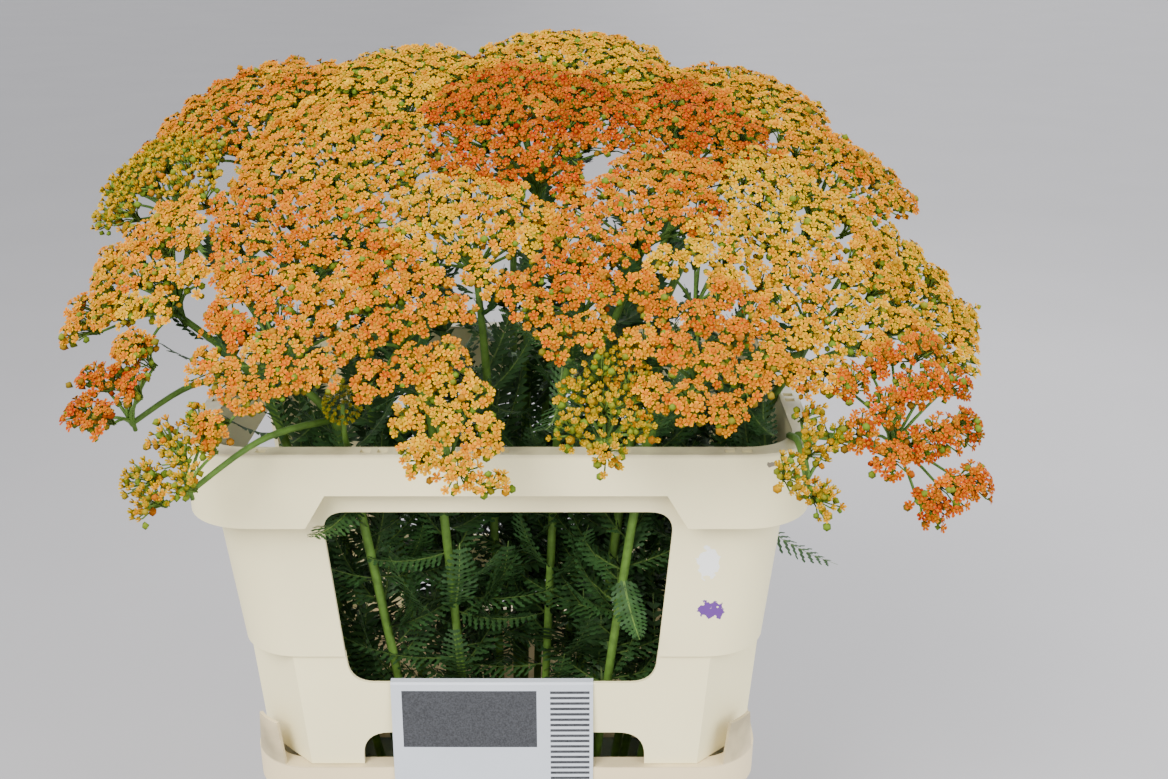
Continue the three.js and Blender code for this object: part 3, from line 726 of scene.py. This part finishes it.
def covered(places, tri):
    """Whether flat places lie on any triangle: a place is shared out over two edges from one
    corner, and is on the triangle if neither share is negative and their sum is at most 1."""
    cross = lambda p, q: p[..., 0] * q[..., 1] - p[..., 1] * q[..., 0]
    a, b, c = (tri[:, k] - (k > 0) * tri[:, 0] for k in range(3))
    area = cross(b, c)
    keep = np.abs(area) > 1e-6
    a, b, c, area = a[keep], b[keep], c[keep], area[keep]
    away = places[:, None] - a[:, :2]
    v, w = cross(away, c) / area, cross(b, away) / area
    return ((v >= 0) & (w >= 0) & (v + w <= 1)).any(1)


print("heads are widened by", GROW)

# %% [markdown]
# A cluster's star has twelve triangles, so the points used twelve times are the clusters' middles,
# and the point used most is the head's lowest. A smooth sheet fitted through the middles by least
# squares carries the honeycomb, and each cluster is a small dome on it.

# %% Scatter over a head
FLOWER_PITCH = 5.7
CLUSTER, DOME = 11.5, 5.0
STAR_USES, FEW = 12, 9


def scatter(node, normal, pitch):
    """Places, directions and clusters of small flowers on a frame head, and where each cluster's
    branch ends. Height is the sheet's, less a dome that falls with the square of the distance
    from the cluster's middle; the direction follows from both slopes."""
    points, triangles, uses = head_surface(node)
    apex = np.argmax(uses)
    axes = frame_of(normal)
    local = (points - points[apex]) @ axes.T
    top = triangles[(triangles != apex).all(1)]
    middles = local[np.setdiff1d(np.where(uses == STAR_USES)[0], apex)]
    curved = len(middles) > FEW
    fit = lambda p: np.column_stack([
        np.ones(len(p)), p[:, 0], p[:, 1],
        *(curved * q for q in (p[:, 0] ** 2, p[:, 0] * p[:, 1], p[:, 1] ** 2)),
    ])
    base = np.linalg.lstsq(fit(middles), middles[:, 2] - 4.2, rcond=None)[0]
    heart = middles[:, :2].mean(0)
    middles[:, :2] = heart + GROW * (middles[:, :2] - heart)
    lo, hi = (heart + GROW * (edge - heart) for edge in (local[:, :2].min(0), local[:, :2].max(0)))
    rows = np.arange(int((hi[1] - lo[1]) / (pitch * 0.866)) + 2)
    columns = np.arange(int((hi[0] - lo[0]) / pitch) + 2)
    gx, gy = (grid.ravel() for grid in np.meshgrid(columns, rows))
    places = np.column_stack([(gx + 0.5 * (gy % 2)) * pitch, gy * pitch * 0.866]) + lo
    places += random.normal(0, 0.16 * pitch, places.shape)
    places = places[covered(heart + (places - heart) / GROW, local[top])]
    away = np.linalg.norm(places[:, None] - middles[None, :, :2], axis=2)
    cluster = away.argmin(1)
    far = away.min(1)
    kept = far < GROW * 11.6 + random.normal(0, 0.7, len(far))
    places, cluster, far = places[kept], cluster[kept], far[kept]
    height = fit(places) @ base + 3.4 - DOME * (far / CLUSTER) ** 2
    height += random.normal(0, 0.8, len(far))
    x, y = places.T
    slope = (places - middles[cluster, :2]) * (2 * DOME / CLUSTER**2) - np.column_stack([
        base[1] + 2 * base[3] * x + base[4] * y,
        base[2] + 2 * base[5] * y + base[4] * x,
    ])
    tilt = 0.6 * slope + random.normal(0, 0.14, slope.shape)
    facing = unit(np.column_stack([tilt, np.ones(len(places))]))
    spots = np.column_stack([places, height]) @ axes + points[apex]
    inside = ((spots > cad_low + 2.5) & (spots < cad_high - 2.5)).all(1)
    spots, facing, cluster = spots[inside], facing[inside], cluster[inside]
    bases = np.column_stack([middles[:, :2] * 0.82, fit(middles) @ base - 15])
    return spots, facing @ axes, cluster, bases @ axes + points[apex]


print("scatter pitch", FLOWER_PITCH, "mm")

# %% [markdown]
# ## Tubes
# Stems, branches and the thin stalks of single flowers are all tubes along a path. Many tubes are
# made at once: at each point of a path a small ring is laid square to the path's direction.

# %% Tube helper
def tubes(paths, radii, sides, rib=0.0):
    """Rings of points along paths (tubes by points by 3), one after another for each tube. radii
    are in mm along a path; rib is how far every other side stands out, as a share of the radius."""
    paths = np.asarray(paths, float)
    run = unit(np.gradient(paths, axis=1))
    chord = np.abs(paths[:, -1] - paths[:, 0])
    lead = np.eye(3)[chord.argmin(1)][:, None]
    side = unit(np.cross(run, lead))
    other = np.cross(run, side)
    angle = 2 * math.pi * np.arange(sides) / sides
    reach = (1 + rib * np.where(np.arange(sides) % 2, -1, 1))[:, None]
    out = side[:, :, None] * np.cos(angle)[:, None] + other[:, :, None] * np.sin(angle)[:, None]
    radii = np.broadcast_to(radii, paths.shape[:2])[:, :, None, None]
    return (paths[:, :, None] + out * reach * radii).reshape(len(paths), -1, 3)


def rounded(points, passes=3):
    """A path with its corners cut again and again, which makes it smooth; its ends stay."""
    points = np.asarray(points, float)
    for _ in range(passes):
        a, b = points[:-1], points[1:]
        cut = np.stack([0.75 * a + 0.25 * b, 0.25 * a + 0.75 * b], 1).reshape(-1, 3)
        points = np.vstack([points[:1], cut[1:-1], points[-1:]])
    return points


def arcs(starts, lifts, ends, count):
    """Curves from starts to ends that first rise along lifts: quadratic arcs, count points each."""
    t = np.linspace(0, 1, count)[None, :, None]
    starts, bends, ends = (at[:, None] for at in (starts, starts + lifts, ends))
    return (1 - t) ** 2 * starts + 2 * t * (1 - t) * bends + t**2 * ends


print("a stalk of 3 rings:", sum(map(len, tube_faces(3, 3))), "faces")

# %% [markdown]
# ## Flower heads
# Each head becomes one piece: its small flowers, turned to face out of the head's surface, and a
# thin green stalk under each, from the middle of its cluster. Closed buds fill the gaps just below
# the flowers. Half open heads have cupped, greener flowers.

# %% Laying flowers and buds
def axes_facing(facing):
    """For each direction, two directions square to it and the direction itself, as rows."""
    lead = np.where(np.abs(facing[:, :1]) < 0.7, [[1.0, 0, 0]], [[0, 1.0, 0]])
    side = unit(np.cross(facing, lead))
    return np.stack([side, np.cross(facing, side), facing], 1)


def lay_flowers(shape, spots, facing, radius, cup, colours):
    """Copies of the flower pattern at spots: each is cupped, made uneven, spun about its own axis
    and turned to its direction. colours: copies by four colours by 3."""
    count = len(spots)
    spin = random.uniform(0, 2 * math.pi, count)
    flat = pattern[:, :2] * (1 - 0.45 * np.outer(cup, cupping))[:, :, None]
    uneven = 1 + random.normal(0, 0.07, (count, len(pattern), 1))
    x, y = np.moveaxis(flat * uneven, 2, 0)
    cos, sin = np.cos(spin)[:, None], np.sin(spin)[:, None]
    turned = np.stack([x * cos - y * sin, x * sin + y * cos,
                       pattern[:, 2] + np.outer(cup, cupping)], -1)
    sized = turned * radius[:, None, None]
    points = np.einsum("cpk,ckd->cpd", sized, axes_facing(facing)) + spots[:, None]
    shape.add(points, pattern_faces, np.einsum("pk,ckd->cpd", shares, colours))


def lay_buds(shape, spots, facing, radius, tints):
    """Small closed buds: six sided spindles, cheap enough to fill every gap between flowers."""
    i = np.arange(6)
    j, k = (i + 1) % 6, i * math.pi / 3
    waist = np.column_stack([np.cos(k), np.sin(k), 0.1 * np.cos(3 * k)])
    spindle = np.vstack([waist, [[0, 0, 0.9], [0, 0, -1.3]]])
    points = np.einsum("pk,ckd->cpd", spindle, axes_facing(facing)) * radius[:, None, None]
    top, foot = np.full(6, 6), np.full(6, 7)
    faces = np.vstack([np.stack([i, j, top], -1), np.stack([j, i, foot], -1)])
    points = points + spots[:, None]
    shape.add(points, [faces], np.broadcast_to(tints[:, None], points.shape))


print("flowers and buds can be laid")

# %% [markdown]
# Now the heads themselves. The frame says which colour a head has; its flowers spread round that
# colour's age, cluster by cluster.

# %% All heads
def make_head(label, head, slot):
    """One flower head, and the places under its clusters where the branches end."""
    normal = poise(head)[0]
    spots, facing, cluster, bases = scatter("flowers_" + label, normal, FLOWER_PITCH)
    count = len(spots)
    own_age = HEAD_AGE[slot] + random.normal(0, 0.03)
    age = own_age + random.normal(0, 0.08, len(bases))[cluster] + random.normal(0, 0.07, count)
    openness = np.clip((0.25 if slot == "olive" else 0.85) + random.normal(0, 0.15, count), 0, 1)
    radius = np.clip(random.normal(3.9, 0.35, count), 2.9, 4.6) * (0.75 + 0.25 * openness)
    shape = Shape()
    colours = flower_colours(age, openness)
    lay_flowers(shape, spots, facing, radius, 0.12 + 0.9 * (1 - openness), colours)
    gaps = spots + random.normal(0, 2.2, spots.shape)
    gaps = gaps - facing * random.uniform(2.5, 6.5, (count, 1))
    ripe = random.uniform(0, 1, (count, 1)) ** 2
    bud_tints = (1 - ripe) * linear((88, 108, 34)) + ripe * aged(np.clip(age, 0, 1)) * 0.8
    lay_buds(shape, gaps, facing, random.uniform(1.9, 3.1, count), bud_tints)
    ends = spots - facing * radius[:, None] * 0.55
    starts = bases[cluster] + random.normal(0, 0.8, (count, 3))
    paths = arcs(starts, 0.3 * (ends - starts) + 4 * normal, ends, 3)
    stalks = tubes(paths, [0.7, 0.5, 0.65], 3)
    tint = np.broadcast_to(GREEN * 0.9, stalks.shape) * random.uniform(0.6, 1.2, (count, 1, 1))
    shape.add(stalks, tube_faces(3, 3), tint)
    piece = shape.piece("yarrow_head_" + label, petal_finish)
    stand_for(piece, slot, "flowers_" + label)
    return bases, len(piece.data.polygons), count


node_slots = {part["node"]: part["material_slot"] for part in frame["record"]["subparts"]}
head_bases = {}
total_faces = total_flowers = 0
for number, heads in enumerate(PLANTS, 1):
    for letter, head in zip("abc", heads):
        label = f"{number:02d}{letter}"
        head_bases[label], faces, count = make_head(label, head, node_slots["flowers_" + label])
        total_faces += faces
        total_flowers += count
print(total_flowers, "flowers in", len(head_bases), "heads,", total_faces, "faces")

# %% [markdown]
# ## Feathery leaves
# A yarrow leaf is cut twice: leaflets along a rib, and teeth along each leaflet. One flat pattern
# holds the rib and thirteen pairs of toothed strips. As it is laid, its rib follows an arch, its
# halves fold up a little and its leaflets wave. A plainer pattern serves the many leaves inside.

# %% Leaves
def leaf_pattern(pairs, teeth):
    """Columns: share of the length, share of the half width, offset in mm along the rib and
    across it, and share of the rib's colour. teeth: widths along one leaflet. The rib is a strip
    that narrows; leaflets start at even steps and reach out by a power of a sine."""
    t, edge = np.linspace(0, 1, 6)[:, None], np.array([-1, 1])
    rib = [t, 0, 0, 0.9 * (1 - 0.7 * t) * edge, 1]
    start = 0.1 + 0.87 * np.arange(pairs)[:, None, None, None] / pairs
    reach = np.sin(math.pi * np.minimum(1, 0.2 + 0.8 * start)) ** 0.7
    sign = edge[:, None, None]
    part = (np.arange(len(teeth)) / (len(teeth) - 1))[:, None]
    wide = 30 / pairs * np.array(teeth)[:, None] * (1 - 0.35 * part)
    stem_side = 0.25 * (1 - part) * (edge < 0)
    leaflet = [start + 0.11 * reach * part, sign * reach * part, wide * edge, 0, stem_side]
    rows = [np.stack(np.broadcast_arrays(*c), -1).reshape(-1, 5) for c in (rib, leaflet)]
    strip = 2 * np.arange(len(teeth) - 1)[:, None]
    quads = np.stack([strip + [2, 3, 1, 0], strip + [0, 1, 3, 2]])
    firsts = 12 + 2 * len(teeth) * np.arange(2 * pairs).reshape(pairs, 2, 1, 1)
    rib_quads = 2 * np.arange(5)[:, None] + [0, 2, 3, 1]
    return np.vstack(rows), np.vstack([rib_quads, (quads + firsts).reshape(-1, 4)])


fine_leaf = leaf_pattern(13, [0.5, 1.0, 0.45, 1.1, 0.4, 0.9, 0.05])
plain_leaf = leaf_pattern(10, [0.6, 1.0, 0.7, 0.1])
LEAF_GREEN, RIB_GREEN = linear((44, 74, 38)), linear((92, 118, 58))


def leaf_points(pattern, root, heading, climb, length, half):
    """The pattern laid along an arch that first rises and then droops."""
    rows = pattern[0]
    heading, climb = math.radians(heading), math.radians(climb)
    flat = math.cos(climb)
    along = np.array([flat * math.cos(heading), flat * math.sin(heading), math.sin(climb)])
    across = np.array([-math.sin(heading), math.cos(heading), 0])
    normal = -np.cross(along, across)
    t = rows[:, 0] + rows[:, 2] / length
    side = rows[:, 1] * half + rows[:, 3]
    wave = 1.2 * np.sin(9 * t * math.pi + rows[:, 1] * 2) * np.abs(rows[:, 1])
    up = length * (0.16 * t - 0.34 * t**2) + 0.18 * np.abs(side) + wave
    return root + np.outer(t * length, along) + np.outer(side, across) + np.outer(up, normal)


def add_leaf(shape, pattern, points, shade):
    rows, faces = pattern
    tint = LEAF_GREEN * (1 - rows[:, 4:]) + RIB_GREEN * rows[:, 4:]
    shape.add(points, [faces], tint * shade)


print("one leaf:", len(fine_leaf[1]), "faces, a plain one:", len(plain_leaf[1]))

# %% [markdown]
# ## Leaves of the frame
# Each row is one leaf: plant, height of its root, heading and climb in degrees, length and half
# width. All but one are the frame's; the second leaf of plant 24 is added here, because in the
# photo a leaf hangs out past the rim on the right.

# %% Leaf table
LEAVES = np.array("""
    1 331 148 50 64 13    1 435 159 29 72 11     2 348 106 59 73 12     2 444 90 50 77 13
    3 322 81 68 83 13     3 465 60 46 64 12      4 306 201 56 70 14     4 433 137 52 63 14
    5 417 53 68 68 14     6 393 79 69 83 15      7 321 349 63 52 11     7 462 341 52 70 14
    8 346 156 58 59 12    8 462 261 69 77 12     9 422 80 60 68 11      10 397 289 67 70 12
    11 392 357 71 72 14   12 354 33 58 69 13     12 460 39 47 84 11     13 342 249 40 75 14
    13 452 238 67 82 12   14 350 300 40 62 13    14 383 293 66 82 13    15 391 198 68 76 12
    16 355 250 69 75 11   16 450 90 70 77 12     17 330 286 44 70 14    17 424 156 68 67 14
    18 496 264 -2 92 11   18 500 286 2 84 10     18 410 302 54 77 14    19 308 352 61 69 11
    19 432 29 64 72 12    20 311 338 53 63 11    20 431 211 69 78 11    21 430 248 -14 62 14
    21 421 177 46 63 12   22 372 285 -45 50 12   22 340 200 30 50 13    22 405 23 56 71 11
    23 333 340 39 72 14   23 427 300 63 72 12    24 425 350 -35 60 13   24 396 340 -38 92 15
    24 388 22 70 63 12
""".split(), float).reshape(-1, 6)
print(len(LEAVES), "leaves in the table")

# %% [markdown]
# ## Stems
# A stem runs from the bucket's floor through the collar and arches out to its head, where it parts
# into one branch for every cluster. Twelve sides, every other one raised, give it fine ribs.

# %% Stems and branches
STEM_GREEN = linear((82, 112, 46))


def add_stem(shape, path, radii):
    """A ribbed stem, darker and duller towards its foot: painted shade deep in the bunch."""
    path = rounded(path)
    radii = np.interp(np.linspace(0, 1, len(path)), np.linspace(0, 1, len(radii)), radii)
    points = tubes(path[None], radii, 12, rib=0.07)
    # painted shade: the stem's colour is darkened the lower it stands in the bunch
    painted_depth_shade = np.repeat(np.interp(path[:, 2], [0, 300, 600], [0.55, 0.85, 1.1]), 12)[:, None]
    shape.add(points, tube_faces(len(path), 12), (STEM_GREEN * painted_depth_shade)[None])


def add_branches(shape, head, bases):
    """Branches from the stem's end to the clusters; the outer ones leave it lower down."""
    _, apex, hub = poise(head)
    up = unit(apex - hub)
    far = np.linalg.norm(bases - apex, axis=1)
    starts = hub + np.outer(8 - 14 * far / far.max(), up)
    paths = arcs(starts, 0.4 * np.outer(np.linalg.norm(bases - starts, axis=1), up), bases, 6)
    points = tubes(paths, np.linspace(1.5, 0.9, 6), 5)
    shade = random.uniform(0.8, 1.15, (len(bases), 1, 1))
    shape.add(points, tube_faces(6, 5), np.broadcast_to(STEM_GREEN, points.shape) * shade)


print("stem colour:", STEM_GREEN.round(3))

# %% [markdown]
# One plant at the front left carries a ball of tight green buds. The buds are the same flower
# pattern, fully cupped, spread over a ball by turning each one on by the golden angle.

# %% Bud ball
GOLDEN_ANGLE = 2.39996


def bud_ball(shape, site):
    """A ball of tight green buds on a short shoot."""
    middle = np.array([-98.0, -141, 509])
    start = stem_point(site, 466)
    add_stem(shape, [start, (start + middle) / 2 + [0, -6, -8], middle], [2.2, 1.8, 1.5])
    k = np.arange(90)
    z = 1 - 2 * (k + 0.5) / len(k)
    ring, turn = np.sqrt(1 - z**2), k * GOLDEN_ANGLE
    facing = np.column_stack([ring * np.cos(turn), ring * np.sin(turn), z])
    closed, radius, cup = (np.full(len(k), value) for value in (0.0, 2.3, 1.0))
    colours = flower_colours(random.uniform(0.6, 0.9, len(k)), closed) * [0.8, 1.0, 0.8]
    lay_flowers(shape, middle + 11.5 * facing, facing, radius, cup, colours)


print("bud ball ready")

# %% [markdown]
# The windows show a dense dark green tangle. It is made of many small leaves on every stem, with
# painted shade that darkens the lower ones. A leaf that would stick through the collar is drawn
# again, up to nine times, and then left out.

# %% Small leaves
LEAVES_EACH = 36


def stays_inside(points):
    """Whether a leaf is clear of the collar: below the rim, its points lie within a rounded
    rectangle above the ledge and within one with straight cut corners below it."""
    low = points[points[:, 2] < TOP + 6]
    x, y, corner = collar_wall(np.clip(low[:, 2], LEDGE, TOP))
    under = low[:, 2] < LEDGE
    x, y, corner = (np.where(under, a, b) for a, b in zip(cut_foot, (x, y, corner)))
    past = np.maximum(np.abs(low[:, :2]) - np.column_stack([x - corner, y - corner]), 0)
    reach = np.where(under, past.sum(1), np.linalg.norm(past, axis=1))
    return bool((reach < corner - 7).all())


def small_leaves(shape, site, hub):
    """Leaves all the way up, in every direction; the lower ones are larger, and darker by painted
    shade deep in the bunch. Only the front plants get the fine pattern."""
    bend = stem_point(site, TOP)
    pattern = fine_leaf if site[1] < -130 else plain_leaf
    heights = 252 + (hub[2] - 258) * np.linspace(0, 1, LEAVES_EACH) ** 1.1
    for z in heights + random.uniform(-9, 9, LEAVES_EACH):
        above = bend + (z - TOP) / max(hub[2] - TOP, 9) * (hub - bend)
        root = stem_point(site, z) if z < TOP else above
        size = np.interp(z, [300, 620], [1.0, 0.55])
        for _ in range(9):
            climb, length = random.uniform(-5, 62), size * random.uniform(62, 92)
            width = size * random.uniform(11, 16)
            points = leaf_points(pattern, root, random.uniform(0, 360), climb, length, width)
            if stays_inside(points):
                # painted shade: lower leaves are darkened with depth, times a random tone
                shade = np.interp(z, [300, 520], [0.62, 1.1]) * random.uniform(0.8, 1.25)
                add_leaf(shape, pattern, points, shade)
                break


print("up to", LEAVES_EACH, "small leaves on a stem")

# %% [markdown]
# Each plant is now put together as one piece: stem, side shoots, branches and leaves.

# %% All plants
BUD_PLANT = 21
stem_faces = 0
for number, (heads, site) in enumerate(zip(PLANTS, sites), 1):
    shape = Shape()
    hub = poise(heads[0])[2]
    bend = stem_point(site, TOP)
    middle = (bend + hub) / 2 + [0, 0, 6]
    add_stem(shape, [stem_point(site, FLOOR + GAP), bend, middle, hub], [3.2, 3.1, 2.9, 2.3])
    for letter, head in zip("abc", heads):
        fork = head[7]
        if fork:
            a, b = (bend, middle) if fork < middle[2] else (middle, hub)
            start = a + (b - a) * (fork - a[2]) / (b[2] - a[2])
            end = poise(head)[2]
            add_stem(shape, [start, (start + end) / 2 + [0, 0, 14], end], [2.3, 2.0, 1.7])
        add_branches(shape, head, head_bases[f"{number:02d}{letter}"])
    for _, z, heading, climb, length, half in LEAVES[LEAVES[:, 0] == number]:
        points = leaf_points(fine_leaf, stem_point(site, z), heading, climb, length, half)
        add_leaf(shape, fine_leaf, points, random.uniform(0.7, 1.2))
    small_leaves(shape, site, hub)
    if number == BUD_PLANT:
        bud_ball(shape, site)
    piece = shape.piece(f"yarrow_stem_{number:02d}", green_finish)
    stand_for(piece, "green", f"stem_{number:02d}")
    stem_faces += len(piece.data.polygons)
print("stems and leaves:", stem_faces, "faces")

# %% [markdown]
# ## Lot card
# A sheet of card hangs down the front and folds over the window's lower edge. The real one is
# printed; here it carries a blank dark panel and plain even bars only. The print is mixed from
# Object coordinates: each patch is 1 inside its limits and 0 outside.

# %% Card finish
BAR_PITCH = 0.0044
card_finish = Finish("lot card", 0.5)
calc, axes = card_finish.calc, card_finish.axes()
x, z = axes["X"], axes["Z"]


def between(value, low, high):
    """1 where a value lies between two others, else 0."""
    return calc("MULTIPLY", calc("GREATER_THAN", value, low), calc("LESS_THAN", value, high))


panel = calc("MULTIPLY", between(x, -0.0715, 0.024), between(z, 0.2425, 0.2885))
bar = between(calc("MODULO", z, BAR_PITCH), 0.0, BAR_PITCH / 2)
bars = calc("MULTIPLY", between(x, 0.0335, 0.0615), bar)
bars = calc("MULTIPLY", bars, between(z, 0.194, 0.289))
front = calc("LESS_THAN", axes["Y"], -0.122)
ink = calc("MULTIPLY", calc("MAXIMUM", panel, bars), front)
ink = calc("MULTIPLY", ink, card_finish.uneven(900, 0.93, 1.0, detail=2))
printed = card_finish.mix(ink, linear_rgba((182, 187, 194)), linear_rgba((40, 41, 44)))
card_finish.colour(card_finish.scaled(printed, card_finish.uneven(30, 0.97, 1.02)))
card_finish.bump(card_finish.noise(1200, 2), 0.08, 0.0002)
print("card finish:", len(card_finish.tree.nodes), "nodes")

# %% [markdown]
# The sheet is one profile, down the front and over the edge, thickened by 0.6 mm and carried along
# X. A slight bow keeps it from looking like a board.

# %% Card
THICKNESS, BOW, STEPS = 0.6, 0.25, 12
path = np.array([
    (-124.35, 188.0), (-124.35, 240.0), (-124.35, 288.0), (-124.35, 293.4), (-123.9, 294.3),
    (-118.6, 294.3), (-118.25, 293.6), (-118.25, 284.9),
])
run = np.gradient(path, axis=0)
outward = unit(np.column_stack([-run[:, 1], run[:, 0]]))
section = np.vstack([path, (path + THICKNESS * outward)[::-1]])
bow = BOW * np.sin(np.linspace(0, math.pi, STEPS))
n = len(section)
card_rings = [
    np.column_stack([np.full(n, x), section[:, 0] - b, section[:, 1]])
    for x, b in zip(np.linspace(-79, 64, STEPS), bow)
]
card_shape = Shape()
card_shape.add(np.vstack(card_rings), [rows[:, ::-1] for rows in tube_faces(STEPS, n)])
card = card_shape.piece("card_folded", card_finish, smooth=False)
stand_for(card, "card", "lot_card")
print("card:", len(card.data.polygons), "faces")

# %% [markdown]
# ## Water
# The water is hardly seen, but it is there: the frame's own solid keeps its form and gets a clear,
# slightly green finish whose surface ripples a little.

# %% Water
water_finish = Finish("water", 0.05)
clear = water_finish.scaled(linear((178, 200, 186)), water_finish.uneven(14, 0.8, 1.05))
water_finish.colour(clear)
water_finish.bump(water_finish.noise(40), 0.2, 0.001)
water_finish.shader["Transmission Weight"].default_value = 0.7
water_finish.shader["IOR"].default_value = 1.33
water = frame["nodes"]["water"]
water.data.materials.clear()
water.data.materials.append(water_finish.material)
print("water finish set")

# %% [markdown]
# ## Floor and light
# The photo has a plain pale grey ground, lighter to the right, with faint shadows. A wide plane
# stands for it; as a stage it isn't part of the model.

# %% Floor
FLOOR_REACH = 40
corners = [(-1, -1, 0), (1, -1, 0), (1, 1, 0), (-1, 1, 0)]
floor_mesh = bpy.data.meshes.new("floor")
floor_mesh.from_pydata((FLOOR_REACH * np.array(corners)).tolist(), [], [(0, 1, 2, 3)])
floor = bpy.data.objects.new("floor", floor_mesh)
bpy.context.scene.collection.objects.link(floor)
floor_finish = Finish("floor", 0.9)
pale = floor_finish.scaled(linear((200, 198, 200)), floor_finish.uneven(3, 0.98, 1.02))
# painted light: the floor's colour grows lighter towards +X, a pool of light laid into the colour
lighter = floor_finish.remap(floor_finish.axes()["X"], (-0.9, 0.9), (0.44, 0.66))
floor_finish.colour(floor_finish.scaled(pale, lighter))
floor_mesh.materials.append(floor_finish.material)
floor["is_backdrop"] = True
print("floor:", 2 * FLOOR_REACH, "m wide, lighter to the right")

# %% [markdown]
# Three area lights and a pale world: a large one high on the left, a weaker one on the right to
# open the shadows, and one behind to catch the petals' edges. They are big and soft because the
# photo's shadows have no edge.

# %% Lights
AIM = np.array([0, 0, 0.5])


def area_light(name, place, size, power, colour):
    """A square soft light whose ray points at the aim: tilted by the ray's angle from straight
    down, then turned about Z to its heading."""
    data = bpy.data.lights.new(name, "AREA")
    data.size, data.energy, data.color = size, power, colour
    light = bpy.data.objects.new(name, data)
    light.location = place
    x, y, z = AIM - place
    light.rotation_euler = (math.atan2(math.hypot(x, y), -z), 0, math.atan2(x, -y) + math.pi)
    bpy.context.scene.collection.objects.link(light)


area_light("key", (-0.9, -1.5, 1.9), 1.2, 96, (1.0, 0.98, 0.95))
area_light("fill", (1.6, -1.2, 1.3), 1.4, 40, (0.96, 0.98, 1.0))
area_light("back", (0.4, 1.5, 1.8), 1.0, 20, (1.0, 1.0, 1.0))
world = bpy.data.worlds.new("studio")
bpy.context.scene.world = world
world.use_nodes = True
background = world.node_tree.nodes["Background"]
background.inputs["Color"].default_value = (0.86, 0.87, 0.9, 1)
background.inputs["Strength"].default_value = 2.0
print("lights and world ready")

# %% Finish
low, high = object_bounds()
